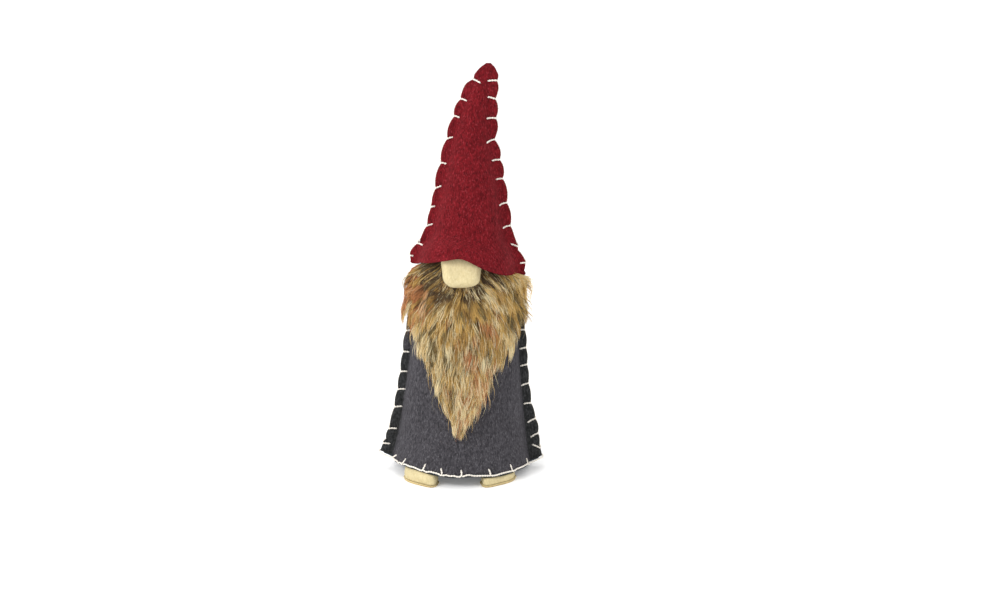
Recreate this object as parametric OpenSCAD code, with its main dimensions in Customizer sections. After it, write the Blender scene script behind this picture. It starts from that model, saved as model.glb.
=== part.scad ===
// Felt gnome figurine: a weighted felt coat with a fur beard, a padded nose, two padded feet
// and a tall pointed hat that lifts off. Millimetres, +Z up, the face looks along -Y, and the
// origin is the middle of the underside, on the surface that the figure stands on.

/* [Coat] */
// Half of the coat's width at the hem, side seam to side seam
hem_half_w = 39.7; // [36:0.1:44]
// Half of the coat's width at the waist, seam included
waist_half_w = 28.6; // [26:0.1:31]
// Half of the coat's depth at the hem
hem_half_d = 32; // [29:0.5:35]
// Half of the coat's depth at the waist
waist_half_d = 20.5; // [19:0.5:22]
// Height where the shoulders start to close in
shoulder_z = 60; // [56:1:64]
// Top of the head, inside the hat
head_top_z = 129; // [126:1:130]
// Sideways lean of the figure for each millimetre of height
lean = 0.037; // [0:0.001:0.04]

/* [Felt] */
// Thickness of the coat and hat felt
felt_t = 1.5; // [1:0.1:1.8]
// Thickness of the base felt
base_t = 2.4; // [2:0.1:2.6]
// Width of the flat seam down each side of the coat
seam_w = 4; // [3:0.1:4.5]
// Width of the flat seam down each side of the hat
hat_seam_w = 4; // [3:0.1:4.2]

/* [Hem] */
// Height of the base rim's underside at the middle of the front
rim_z = 2.5; // [2.4:0.1:3]
// How much higher the rim runs at the sides
rim_rise = 2.4; // [1:0.1:3]
// Sideways slope of the rim
rim_tilt = 0.05; // [0.02:0.005:0.05]

/* [Hat] */
// Height of the hat's tip
hat_top_z = 197.6; // [190:0.1:205]
// Height of the brim's edge at the sides
brim_z = 101.2; // [100:0.1:103]
// Rise of the brim's edge over the nose
brim_arch = 6; // [3:0.1:6.5]
// Half of the hat's width, seam included, where the flare begins
hat_half_w = 20.8; // [20:0.1:22]
// How far the brim flares out
brim_flare = 3.9; // [3:0.1:5]
// How far the tip bends sideways
tip_bend = 6; // [0:0.1:8]

/* [Beard] */
// Height of the line that the loose part of the beard bends about
bend_z = 86; // [84:0.5:88]
// Height of the beard's point
beard_tip_z = 25; // [22:0.5:30]
// Depth of the fur pile
pile = 5.5; // [4:0.1:6]
// Thickness of the knitted cloth that the pile grows from
backing_t = 1.2; // [0.8:0.1:1.4]

/* [Nose and feet] */
// Half of the nose's width at its top
nose_half_w = 9.6; // [8:0.1:10]
// Height of the nose, hidden top included
nose_h = 16.4; // [14:0.1:16.5]
// Depth of the nose's pad
nose_d = 4.8; // [4:0.1:4.9]
// Thickness of the foot felt
foot_t = 0.8; // [0.6:0.1:0.8]

/* [Thread] */
// Radius of the sewing thread
thread_r = 0.6; // [0.4:0.05:0.65]
// Stitches down each side of the coat
coat_stitches = 9; // [6:1:10]
// Stitches down each side of the hat
hat_stitches = 10; // [8:1:11]
// Stitches along the front half of the hem, and again along the back half
hem_stitches = 8; // [6:1:9]

/* [Hidden] */

// Colours of the real materials
coat_grey = "dimgray";
seam_white = "ivory";
skin_cream = "wheat";
fur_tan = "peru";
hat_red = "firebrick";
filling_white = "white";
board_brown = "burlywood";
pellet_grey = "slategray";

// Clearance between soft pieces that lie on each other
gap = 0.3;
// Steps around half a felt tube, and around a full ring of filling
arc_steps = 16;

function clamp01(t) = min(1, max(0, t));
function smooth(t) = let (c = clamp01(t)) c * c * (3 - 2 * c);
function mix(a, b, t) = a + (b - a) * t;

// --- Solid builders ---------------------------------------------------------------------

// A sheet between two surfaces over the same grid. outer(s, t) and inner(s, t) give points,
// with s running across from 0 to 1 and t running up from 0 to 1, seen from the outer side.
module sheet(columns, rows, outer, inner) {
    w = columns + 1;
    h = rows + 1;
    half = w * h;
    points = concat(
        [for (j = [0:rows], i = [0:columns]) outer(i / columns, j / rows)],
        [for (j = [0:rows], i = [0:columns]) inner(i / columns, j / rows)]);
    function at(i, j) = j * w + i;
    front = [for (j = [0:rows - 1], i = [0:columns - 1], half_quad = [0, 1])
        half_quad == 0 ? [at(i, j), at(i, j + 1), at(i + 1, j + 1)]
                       : [at(i, j), at(i + 1, j + 1), at(i + 1, j)]];
    back = [for (f = front) [f[2] + half, f[1] + half, f[0] + half]];
    // The grid's border, in order, counter-clockwise seen from the outer side
    border = concat(
        [for (i = [0:columns - 1]) at(i, 0)],
        [for (j = [0:rows - 1]) at(columns, j)],
        [for (i = [columns:-1:1]) at(i, rows)],
        [for (j = [rows:-1:1]) at(0, j)]);
    n = len(border);
    sides = [for (k = [0:n - 1], half_quad = [0, 1])
        let (a = border[k], b = border[(k + 1) % n])
        half_quad == 0 ? [a, b, b + half] : [a, b + half, a + half]];
    polyhedron(points, concat(front, back, sides), convexity = 6);
}

// A closed solid through a stack of rings, lowest first, each a list of as many points,
// counter-clockwise seen from above.
module loft(rings) {
    n = len(rings[0]);
    top = len(rings) - 1;
    points = [for (ring = rings, p = ring) p];
    walls = [for (j = [0:top - 1], i = [0:n - 1], half_quad = [0, 1])
        let (a = j * n + i, b = j * n + (i + 1) % n)
        half_quad == 0 ? [a, a + n, b + n] : [a, b + n, b]];
    polyhedron(points, concat(walls, [[for (i = [0:n - 1]) i]],
        [[for (i = [n - 1:-1:0]) top * n + i]]), convexity = 4);
}

function ellipse_ring(cx, a, b, z, n) =
    [for (k = [0:n - 1]) [cx + a * cos(360 * k / n), b * sin(360 * k / n), z]];

// A straight piece of thread from p to q, stopping short of both by the given amount
module rod(p, q, short) {
    d = q - p;
    length = norm(d);
    translate(p + d * short / length)
        rotate([0, acos(d[2] / length), atan2(d[1], d[0])])
            cylinder(h = length - 2 * short, r = thread_r, $fn = 24);
}

// One loop of thread, in the plane square to its axis
module loop(r) {
    rotate_extrude($fn = 32) translate([r, 0]) circle(r = thread_r, $fn = 16);
}

// --- Coat shape -------------------------------------------------------------------------

hem_z = rim_z + base_t;
flare_height = 94;
// The higher this is, the lower down the flare stays
flare_power = 2.4;
// How fast the crown closes in, sideways and from front to back
head_narrowing = 0.85;
head_flattening = 0.75;
// The seam is wider at the hem and narrower on the head
hem_seam_extra = 2.5;
hem_seam_top_z = 45;
head_seam_w = 2.2;
head_seam_low_z = 75;
head_seam_h = 25;

function centre_x(z) = lean * z;
function flare(z) = pow(clamp01(1 - (z - hem_z) / flare_height), flare_power);
function dome(z) = 1 - pow(clamp01((z - shoulder_z) / (head_top_z - shoulder_z)), 2);
function seam_at(z) =
    mix(seam_w + hem_seam_extra * (1 - smooth(z / hem_seam_top_z)), head_seam_w,
        smooth((z - head_seam_low_z) / head_seam_h));
// Half width and half depth of the coat's felt tube, seams left out
function coat_a(z) = max(felt_t + gap, -seam_at(z)
    + (waist_half_w + (hem_half_w - waist_half_w) * flare(z)) * pow(dome(z), head_narrowing));
function coat_b(z) = max(felt_t + gap,
    (waist_half_d + (hem_half_d - waist_half_d) * flare(z)) * pow(dome(z), head_flattening));
// Height of the rim's underside over the ground: it is low around rim_low_x, rises to both
// sides and tilts a little
rim_low_x = 6;
rim_low_half = 6;
rim_rise_w = 22;
function rim_under(x) =
    rim_z + rim_rise * smooth((abs(x - rim_low_x) - rim_low_half) / rim_rise_w) - rim_tilt * x;
hem_lift_h = 22;
function hem_lift(x, z) = (rim_under(x) - rim_z) * (1 - smooth((z - hem_z) / hem_lift_h));

coat_top_level = head_top_z - 1;
coat_rows = 14;
// Levels crowd towards the hem and the crown
function coat_level(t) = mix(hem_z, coat_top_level, 0.5 * (t + smooth(t)));

// A point on the front half of a felt tube with a flat seam at each side. The first and last
// steps are the seam's edges and the rest is an arc. inset moves it in by the felt.
function tube_point(s, cx, a, b, seam, inset) =
    let (step = s * (arc_steps + 2))
    step < 0.5 ? [cx - a - seam, inset - felt_t]
    : step > arc_steps + 1.5 ? [cx + a + seam, inset - felt_t]
    : let (phi = 180 * (step - 1) / arc_steps)
      [cx - (a - inset) * cos(phi), inset - felt_t - (b - felt_t) * sin(phi)];

function coat_point(s, t, inset) =
    let (z = coat_level(t), p = tube_point(s, centre_x(z), coat_a(z), coat_b(z), seam_at(z), inset))
    [p[0], p[1], z + hem_lift(p[0], z) - inset * pow(t, 6)];

module coat_panel() {
    sheet(arc_steps + 2, coat_rows,
        function (s, t) coat_point(s, t, 0), function (s, t) coat_point(s, t, felt_t));
}

module coat_front_panel() { color(coat_grey) coat_panel(); }

module coat_back_panel() { color(coat_grey) mirror([0, 1, 0]) coat_panel(); }

// --- Base and weight --------------------------------------------------------------------

// Half axes of the flat zone that stands on the ground: it reaches further back than forward
stand_a = 27;
stand_front = 12;
stand_back = 22;
// Half axes of the ring where the rim begins
ring_a = 33;
ring_front = 24;
ring_back = 28.5;
// Small clearance between parts that lie on each other without being joined
rest_gap = 0.1;
board_z = base_t + 2 * rest_gap;
board_t = 1.2;
board_a = 22;
board_b = 14;
board_y = 4;

function stand_b(y) = y < 0 ? stand_front : stand_back;
function ring_b(y) = y < 0 ? ring_front : ring_back;
function reach(x, y, a, b) = sqrt(pow(x / a, 2) + pow(y / b, 2));
// How far out of the flat zone a point is: 0 on its edge and 1 where the rim begins
function slope_part(x, y) =
    let (flat = reach(x, y, stand_a, stand_b(y)), ring = reach(x, y, ring_a, ring_b(y)))
    flat <= 1 ? 0 : ring >= 1 ? 1 : (1 - 1 / flat) / (1 / ring - 1 / flat);
function base_under(x, y) = rim_under(x) * slope_part(x, y);

// Half width of the coat's hem outline at a given depth. It keeps a small width at its front
// and back ends, and widens to take in the seams near the middle.
hem_a = coat_a(hem_z);
hem_end_part = 0.11;
seam_reach = 1.5 * felt_t;
function hem_half(y) =
    let (d = max(0, abs(y) - felt_t) / (hem_half_d - felt_t))
    hem_a * max(hem_end_part, sqrt(max(0, 1 - d * d)))
        + (hem_half_w - hem_a) * pow(clamp01(1 - abs(y) / seam_reach), 2);

base_columns = 14;
base_rows = 22;
function base_point(s, t, lift) =
    let (y = -hem_half_d * cos(180 * t), x = centre_x(hem_z) + (2 * s - 1) * hem_half(y))
    [x, y, base_under(x, y) + lift];

module base_panel() {
    color(coat_grey)
        sheet(base_columns, base_rows, function (s, t) base_point(s, t, base_t),
            function (s, t) base_point(s, t, 0));
}

module base_board() {
    color(board_brown)
        translate([0, board_y, board_z])
            linear_extrude(board_t)
                polygon([for (p = ellipse_ring(0, board_a, board_b, 0, 48)) [p[0], p[1]]]);
}

// Half axes of the pouch
pouch_a = 24;
pouch_b = 17;
pouch_z = board_z + board_t + rest_gap;
pouch_h = 9;
pouch_skin = 0.6;
pouch_y = 3;

// Part of the pouch's width that its flat top and bottom take
pouch_flat = 0.55;
pouch_steps = 6;
// A flat round cushion, with its half axes and its height shrunk by inset all round
module cushion(inset) {
    loft([for (k = [0:pouch_steps])
        let (turn = -90 + 180 * k / pouch_steps, spread = mix(pouch_flat, 1, cos(turn)))
        ellipse_ring(0, (pouch_a - inset) * spread, (pouch_b - inset) * spread,
            (pouch_h / 2 - inset) * sin(turn), 24)]);
}

module weight_pouch() {
    color(filling_white)
        translate([0, pouch_y, pouch_z + pouch_h / 2])
            difference() {
                cushion(0);
                cushion(pouch_skin);
            }
}

pellet_r = 1.7;
// Two layers of pellets in staggered rows, kept this far inside the pouch's half axes
pellet_margin = 7;
module weight_pellets() {
    pitch = 2 * pellet_r + 0.15;
    row_part = 0.87;
    color(pellet_grey)
        translate([0, pouch_y, pouch_z + pouch_h / 2])
            for (layer = [-1, 1], i = [-5:5], j = [-3:3])
                let (x = (i + (j % 2 == 0 ? 0 : 0.5)) * pitch, y = j * pitch * row_part)
                    if (reach(x, y, pouch_a - pellet_margin, pouch_b - pellet_margin) < 1)
                        translate([x, y, layer * (pellet_r + 0.05)]) sphere(pellet_r, $fn = 24);
}

// Filling over the pouch, up to the crown, just inside the felt
module body_stuffing() {
    first = 2;
    function level(j) = coat_level(j / coat_rows);
    bottom_z = pouch_z + pouch_h + gap;
    rings = [for (j = [first:coat_rows - 1])
        let (z = level(j), a = coat_a(z) - felt_t - gap, b = coat_b(z) - felt_t - gap)
        if (z > bottom_z && a > 1 && b > 1)
            ellipse_ring(centre_x(z), a, b, z - felt_t * pow(j / coat_rows, 6), 2 * arc_steps)];
    color(filling_white) loft(rings);
}

// --- Threads of the coat ----------------------------------------------------------------

stitch_r = felt_t + thread_r + 0.2;
// The loop's middle lies this far inside the felt's edge
stitch_in = stitch_r - thread_r - 0.1;

function seam_edge(side, z, half) = [centre_x(z) + side * half, 0, z];
// A row of loops over an edge given by points, joined along the edge by straight runs
module seam_thread(points, outward) {
    run = [for (p = points) p + outward * 2 * thread_r];
    for (p = points) translate(p - outward * stitch_in) loop(stitch_r);
    for (k = [0:len(run) - 2]) rod(run[k], run[k + 1], 1.5 * thread_r);
}

module coat_side_thread(side) {
    low = 13;
    high = 88;
    levels = [for (k = [0:coat_stitches - 1]) mix(low, high, k / (coat_stitches - 1))];
    color(seam_white)
        seam_thread([for (z = levels) seam_edge(side, z, coat_a(z) + seam_at(z))], [side, 0, 0]);
}

module coat_thread_left() { coat_side_thread(-1); }

module coat_thread_right() { coat_side_thread(1); }

// Loops that close the head, up both of its sides
module head_thread() {
    low = 97;
    high = 123;
    rows = 4;
    inside = 1.2;
    color(seam_white)
        for (side = [-1, 1], k = [0:rows - 1])
            let (z = mix(low, high, k / (rows - 1)))
                translate(seam_edge(side, z, coat_a(z) + head_seam_w - inside)) loop(stitch_r);
}

// Where the coat's edge meets the base rim, at a turn about the vertical from the front
function hem_point(turn) =
    let (corner = abs(sin(turn)) > 0.999, x = (corner ? hem_half_w : hem_a) * sin(turn),
         y = corner ? 0 : -hem_half_d * cos(turn))
    [centre_x(hem_z) + x, y, rim_under(x) + base_t];

module hem_thread() {
    last_turn = 76;
    loop_r = 2;
    loop_rise = 0.6;
    out = loop_r + gap;
    stitch_turns = [for (middle = [0, 180], k = [0:hem_stitches - 1])
        middle + mix(-last_turn, last_turn, k / (hem_stitches - 1))];
    // The running thread also turns the corner at each side seam
    path_turns = concat([for (k = [0:hem_stitches - 1]) stitch_turns[k]], [90],
        [for (k = [hem_stitches:2 * hem_stitches - 1]) stitch_turns[k]], [270]);
    n = len(path_turns);
    function on_edge(turn) = hem_point(turn) + out * [sin(turn), -cos(turn), 0];
    color(seam_white) {
        for (turn = stitch_turns)
            translate(hem_point(turn) + [0, 0, loop_rise])
                rotate([0, 0, turn]) rotate([90, 0, 90]) loop(loop_r);
        for (k = [0:n - 1])
            rod(on_edge(path_turns[k]), on_edge(path_turns[(k + 1) % n]), 1.6 * thread_r);
    }
}

// --- Feet -------------------------------------------------------------------------------

// Corners of the left foot's plan, outside and inside
toe_corners = [[-26, -23.6], [-11.5, -33.6]];
heel_corners = [[-27.5, -14], [-9.5, -22.5]];
// Part of the foot's length by which the corners of the toe are rounded back
toe_round = 0.16;
// How much lower the toe's edge is than the rim
toe_drop = 1.2;
// Part of the foot's width and length that its folded edge takes
foot_fold = 0.12;

// t runs from the toe to the heel
function foot_plan(s, t) =
    let (toe = mix(toe_corners[0], toe_corners[1], s), heel = mix(heel_corners[0], heel_corners[1], s))
    mix(toe, heel, mix(toe_round * pow(abs(2 * s - 1), 4), 1, t));
function foot_top(p, t, side) =
    min(base_under(-side * p[0], p[1]), rim_under(-side * p[0]) - toe_drop * pow(1 - t, 6)) - gap;
function is_border(s, t) = min(s, 1 - s, t, 1 - t) < 0.01;

// One layer of a foot between two heights, its plan shrunk by inset at each edge. The left
// foot's points are mirrored for the right foot, which lies under its own part of the rim.
module foot_layer(side, inset, upper_z, lower_z) {
    function spot(s, t) = [mix(inset, 1 - inset, s), mix(inset, 1 - inset, t)];
    function at(s, t, height) =
        let (q = spot(s, t), p = foot_plan(q[0], q[1])) [p[0], p[1], height(p, s, t)];
    mirror([side > 0 ? 1 : 0, 0, 0])
        sheet(8, 8, function (s, t) at(s, t, upper_z), function (s, t) at(s, t, lower_z));
}

module foot_sole(side) {
    color(skin_cream)
        foot_layer(side, 0, function (p, s, t) foot_t, function (p, s, t) 0);
}

// The upper's edge lies on the sole, and its middle leaves at least this much room inside
foot_room = 0.3;
module foot_upper(side) {
    color(skin_cream)
        foot_layer(side, 0, function (p, s, t) max(2 * foot_t, foot_top(p, t, side)),
            function (p, s, t) is_border(s, t) ? foot_t + 0.01
                : max(foot_t + foot_room, foot_top(p, t, side) - foot_t));
}

module foot_stuffing(side) {
    most = 2.5;
    low = foot_t + 0.05;
    color(filling_white)
        foot_layer(side, 1.6 * foot_fold, function (p, s, t)
            let (room = foot_top(p, mix(foot_fold, 1 - foot_fold, t), side) - 2 * foot_t - gap)
                foot_t + max(foot_room - rest_gap, min(room, most)), function (p, s, t) low);
}

module left_foot_sole() { foot_sole(-1); }

module left_foot_upper() { foot_upper(-1); }

module left_foot_stuffing() { foot_stuffing(-1); }

module right_foot_sole() { foot_sole(1); }

module right_foot_upper() { foot_upper(1); }

module right_foot_stuffing() { foot_stuffing(1); }

// --- Nose -------------------------------------------------------------------------------

nose_x = 1.2;
nose_y = -17.4;
nose_z = 101.9;
nose_tilt = 17;
nose_felt_t = 1;
nose_bottom_part = 0.84;
// How far its corners are drawn in, sideways and upright, as parts of its half sizes
nose_round_x = 0.13;
nose_round_z = 0.1;
// The higher this is, the flatter the middle of the pad and the steeper its edge
nose_flatness = 3.5;

function nose_plan(s, t) =
    let (u = 2 * s - 1, v = 2 * t - 1)
    [nose_half_w * mix(nose_bottom_part, 1, t) * u * (1 - nose_round_x * pow(v, 4)),
     nose_h / 2 * v * (1 - nose_round_z * pow(u, 4))];
function bulge(s) = sqrt(1 - pow(abs(2 * s - 1), nose_flatness));
function nose_crown(s, t) = bulge(s) * bulge(t);
function nose_point(s, t, depth) = let (p = nose_plan(s, t)) [p[0], -depth, p[1]];
function inner_part(t, fold) = mix(fold, 1 - fold, t);

module place_nose() {
    color(skin_cream) translate([nose_x, nose_y, nose_z]) rotate([-nose_tilt, 0, 0]) children();
}

module nose_cover() {
    place_nose()
        sheet(10, 10,
            function (s, t) nose_point(s, t, mix(nose_felt_t, nose_d, nose_crown(s, t))),
            function (s, t) nose_point(s, t, is_border(s, t) ? 0
                : mix(nose_felt_t, nose_d, nose_crown(s, t)) - nose_felt_t));
}

module nose_stuffing() {
    fold = 0.16;
    fill = 0.8;
    place_nose()
        sheet(8, 8,
            function (s, t) let (p = inner_part(s, fold), q = inner_part(t, fold))
                nose_point(p, q, (nose_d - nose_felt_t) * nose_crown(p, q) * fill),
            function (s, t) nose_point(inner_part(s, fold), inner_part(t, fold), 0));
}

// --- Beard ------------------------------------------------------------------------------

beard_top_z = 107;
// The part of the beard that lies behind the nose is pressed this thin
pressed_pile = 1.3;
cloth_lift = 0.25;
// The fixed part of the beard reaches round the head to this far from the seams, in degrees
cheek_angle = 15;
cheek_drop = 13;
// Half width of the loose part at the bend, and where it is widest
bend_half_w = 16;
flap_half_w = 19.5;
flap_widest_z = 72;
bend_arch = 3;

function beard_x(z) = 0.5 + 0.055 * (z - 24);
// A point that stands off the coat by d, at an angle from its left seam
function off_coat(phi, z, d) =
    [centre_x(z) - (coat_a(z) + d) * cos(phi),
     -felt_t - (coat_b(z) - felt_t + d) * sin(phi), z];
// The same, over the place where the coat's felt is x from the middle plane
widest = 0.97;
function off_coat_at(x, z, d) =
    off_coat(acos(max(-widest, min(widest, (centre_x(z) - x) / coat_a(z)))), z, d);

// Depth of the pile on the fixed part: fuller on the cheeks, held in under the brim and
// pressed behind the nose
cheek_pile = 3.5;
cheek_start = 12;
cheek_w = 8;
brim_pile = 1.8;
under_brim_drop = 5.8;
under_brim_h = 4;
under_nose_z = 90;
nose_ease = 3;
function under_brim(x) = brim_z - brim_tilt * (x - centre_x(brim_z)) - under_brim_drop;
function top_pile(x, z) =
    let (under_nose = (1 - smooth((abs(x - nose_x) - nose_half_w) / nose_ease))
             * smooth((z - under_nose_z) / nose_ease),
         full = pile + cheek_pile * smooth((abs(x - beard_x(bend_z)) - cheek_start) / cheek_w),
         open = mix(full, brim_pile, smooth((z - under_brim(x)) / under_brim_h)))
    mix(open, pressed_pile, under_nose);

// Lower edge of the fixed part: along the bend in the middle and down the cheeks
cheek_gap = 1;
cheek_slope = 2.6;
function top_low_z(x) =
    let (d = abs(x - beard_x(bend_z)))
    d < bend_half_w ? bend_z + gap - bend_arch * pow(d / bend_half_w, 2)
                    : bend_z + gap - bend_arch - cheek_slope * (d - bend_half_w - cheek_gap);

function top_point(s, t, d, bevel) =
    let (phi = mix(cheek_angle, 180 - cheek_angle, s),
         x = off_coat(phi, bend_z, 0)[0],
         z = mix(max(bend_z - cheek_drop, top_low_z(x)) + bevel * (1 - t), beard_top_z, t))
    off_coat(phi, z, d);

top_columns = 16;
top_rows = 5;
// The pile's outer face starts this much higher than its root, clear of the loose part
top_bevel = 2;

module beard_top_backing() {
    color(board_brown)
        sheet(top_columns, top_rows,
            function (s, t) top_point(s, t, cloth_lift + backing_t, 0),
            function (s, t) top_point(s, t, cloth_lift, 0));
}

module beard_top_fur() {
    root = cloth_lift + backing_t + rest_gap;
    color(fur_tan)
        sheet(top_columns, top_rows, function (s, t)
            let (p = top_point(s, t, root, top_bevel))
                top_point(s, t, root + top_pile(p[0], p[2]), top_bevel),
            function (s, t) top_point(s, t, root, 0));
}

// Loops that sew the cloth's top edge to the face, through the coat's felt
module beard_thread() {
    loop_r = 1.5;
    first = 30;
    step = 20;
    color(seam_white)
        for (phi = [first:step:180 - first])
            let (p = off_coat(phi, beard_top_z, gap + rest_gap))
                translate(p) rotate([0, 0, phi - 90]) rotate([0, 90, 0]) loop(loop_r);
}

flap_columns = 10;
flap_rows = 9;
// The loose part lies a little off the coat, and its outer face starts lower, to let it bend
flap_lift = cloth_lift + gap;
flap_bevel = 10;

function flap_half(z, tip) =
    z > flap_widest_z
        ? mix(flap_half_w, bend_half_w, (z - flap_widest_z) / (bend_z - flap_widest_z))
        : mix(1, flap_half_w, (z - tip) / (flap_widest_z - tip));
function flap_point(s, t, d, tip, bevel) =
    let (z = mix(tip, bend_z, t), side = 2 * s - 1, x = beard_x(z) + side * flap_half(z, tip),
         drop = bend_arch * side * side * smooth((t - 0.6) / 0.4) + bevel * pow(t, 4))
    off_coat_at(x, z - drop, d);

// The knitted cloth ends short of the fur's point
cloth_short = 7;
module beard_backing() {
    tip = beard_tip_z + cloth_short;
    color(board_brown)
        sheet(flap_columns, flap_rows,
            function (s, t) flap_point(s, t, flap_lift + backing_t, tip, 0),
            function (s, t) flap_point(s, t, flap_lift, tip, 0));
}

// The pile is this much shorter at the point
tip_pile_part = 0.6;
module beard_fur() {
    root = flap_lift + backing_t + 2 * rest_gap;
    color(fur_tan)
        sheet(flap_columns, flap_rows,
            function (s, t) flap_point(s, t, root + pile * mix(tip_pile_part, 1, smooth(4 * t)),
                beard_tip_z, flap_bevel),
            function (s, t) flap_point(s, t, root, beard_tip_z, 0));
}

// --- Hat --------------------------------------------------------------------------------

hat_taper = 0.194;
flare_top_z = 118;
flare_h = 12;
tip_round_z = 184;
bend_start_z = 150;
brim_tilt = 0.105;
brim_front_rise = 1.3;
// Width of the arch over the nose, and how far up the hat the brim's shape reaches
brim_arch_w = 9;
brim_shape_h = 22;
brim_front_d = 12;
hat_rows = 14;
hat_top_level = hat_top_z - 0.6;

function hat_centre_x(z) =
    centre_x(z) + tip_bend * pow(clamp01((z - bend_start_z) / (hat_top_z - bend_start_z)), 2);
function hat_cone(z) = hat_half_w - hat_taper * (z - flare_top_z);
function hat_w(z) =
    z < tip_round_z ? hat_cone(z) + brim_flare * smooth((flare_top_z - z) / flare_h)
    : hat_cone(tip_round_z) * sqrt(1 - pow((z - tip_round_z) / (hat_top_z - tip_round_z), 2));
function hat_a(z) = max(felt_t + gap, hat_w(z) - hat_seam_w);
function hat_level(t) = mix(brim_z, hat_top_level, t);
// The brim tilts sideways and, at the front, rises in an arch over the nose
function brim_lift(x, z, front) =
    (front * (brim_front_rise + brim_arch * exp(-pow((x - nose_x) / brim_arch_w, 2)))
        - brim_tilt * (x - hat_centre_x(brim_z))) * (1 - smooth((z - brim_z) / brim_shape_h));

function hat_point(s, t, inset, front) =
    let (z = hat_level(t), seam = max(0.3, hat_w(z) - hat_a(z)),
         p = tube_point(s, hat_centre_x(z), hat_a(z), hat_a(z), seam, inset),
         ahead = front * smooth(-p[1] / brim_front_d))
    [p[0], p[1], z + brim_lift(p[0], z, ahead) - inset * pow(t, 8)];

module hat_panel(front) {
    sheet(arc_steps + 2, hat_rows, function (s, t) hat_point(s, t, 0, front),
        function (s, t) hat_point(s, t, felt_t, front));
}

module hat_front_panel() { color(hat_red) hat_panel(1); }

module hat_back_panel() { color(hat_red) mirror([0, 1, 0]) hat_panel(0); }

module hat_side_thread(side) {
    low = 105.4;
    high = 190;
    levels = [for (k = [0:hat_stitches - 1]) mix(low, high, k / (hat_stitches - 1))];
    color(seam_white)
        seam_thread([for (z = levels)
            let (x = hat_centre_x(z) + side * max(hat_w(z), hat_a(z) + 0.3))
            [x, 0, z + brim_lift(x, z, 0)]], [side, 0, 0]);
}

module hat_thread_left() { hat_side_thread(-1); }

module hat_thread_right() { hat_side_thread(1); }

// Filling that keeps the point upright
module hat_stuffing() {
    low = 150;
    high = 183;
    color(filling_white)
        loft([for (k = [0:5])
            let (z = mix(low, high, k / 5), r = hat_a(z) - felt_t - gap - 0.1)
            ellipse_ring(hat_centre_x(z), r, r, z, 2 * arc_steps)]);
}

coat_front_panel();
coat_back_panel();
base_panel();
base_board();
weight_pouch();
weight_pellets();
body_stuffing();
coat_thread_left();
coat_thread_right();
head_thread();
hem_thread();
left_foot_sole();
left_foot_upper();
left_foot_stuffing();
right_foot_sole();
right_foot_upper();
right_foot_stuffing();
nose_cover();
nose_stuffing();
beard_top_backing();
beard_top_fur();
beard_thread();
beard_backing();
beard_fur();
hat_front_panel();
hat_back_panel();
hat_thread_left();
hat_thread_right();
hat_stuffing();
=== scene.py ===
import math

import bpy
import numpy as np
from mathutils import Matrix, Vector
from mathutils.kdtree import KDTree


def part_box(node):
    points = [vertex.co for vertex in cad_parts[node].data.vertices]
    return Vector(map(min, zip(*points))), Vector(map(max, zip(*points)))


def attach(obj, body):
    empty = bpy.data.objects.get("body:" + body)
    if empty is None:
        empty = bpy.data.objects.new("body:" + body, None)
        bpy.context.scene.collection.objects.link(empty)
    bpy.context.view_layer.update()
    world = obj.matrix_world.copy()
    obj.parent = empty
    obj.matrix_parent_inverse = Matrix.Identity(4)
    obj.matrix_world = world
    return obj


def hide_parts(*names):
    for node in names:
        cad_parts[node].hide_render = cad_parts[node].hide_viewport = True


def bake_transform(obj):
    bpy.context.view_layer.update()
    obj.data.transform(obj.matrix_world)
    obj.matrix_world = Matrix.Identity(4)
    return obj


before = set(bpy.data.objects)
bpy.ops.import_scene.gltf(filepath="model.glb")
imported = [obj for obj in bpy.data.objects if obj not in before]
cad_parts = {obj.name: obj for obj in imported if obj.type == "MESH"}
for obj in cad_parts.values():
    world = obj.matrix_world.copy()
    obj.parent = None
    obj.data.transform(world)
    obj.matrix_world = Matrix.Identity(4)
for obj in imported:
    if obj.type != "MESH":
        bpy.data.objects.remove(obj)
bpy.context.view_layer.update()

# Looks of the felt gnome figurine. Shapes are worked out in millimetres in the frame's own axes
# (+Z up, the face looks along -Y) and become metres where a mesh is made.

MM = 0.001
BODY, FLAP, HAT = "torso", "beard_flap", "hat"

# --- Driving sizes, mm --------------------------------------------------------------------

HEM_HALF_W = 39.7
WAIST_HALF_W = 28.6
HEM_HALF_D = 32.0
WAIST_HALF_D = 20.5
SHOULDER_Z = 60.0
HEAD_TOP_Z = 129.0
LEAN = 0.037
FELT_T = 1.5
BASE_T = 2.4
COAT_SEAM_W = 4.0
HAT_SEAM_W = 4.0
RIM_Z = 2.5
RIM_RISE = 2.4
RIM_TILT = 0.05
HEM_Z = RIM_Z + BASE_T
INNER_FACE = FELT_T - 0.05

HAT_TOP_Z = 197.0
BRIM_Z = 101.2
BRIM_ARCH = 6.0
HAT_HALF_W = 20.8
HAT_TAPER = 0.194
BRIM_FLARE = 3.9
BRIM_TURN = 12.0
TIP_BEND = 5.6

NOSE_AT = (1.4, -17.4, 101.9)
NOSE_TILT = math.radians(17)
NOSE_HALF_W = 9.6
NOSE_H = 16.4
NOSE_D = 4.8

BEARD_TOP_Z = 107.0
BEND_Z = 86.0
BEND_ARCH = 3.0
BEND_HALF_W = 16.0
FLAP_HALF_W = 19.5
FLAP_WIDEST_Z = 72.0
BEARD_TIP_Z = 25.0
CLOTH_SHORT = 7.0
CHEEK_ANGLE = math.radians(15)
CHEEK_DROP = 13.0
BACKING_T = 1.2
CLOTH_LIFT = 0.25
FLAP_LIFT = 0.55
PILE = 5.5
PRESSED_PILE = 1.3
CHEEK_PILE = 1.9
BRIM_PILE = 3.0
THREAD_R = 0.46

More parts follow.
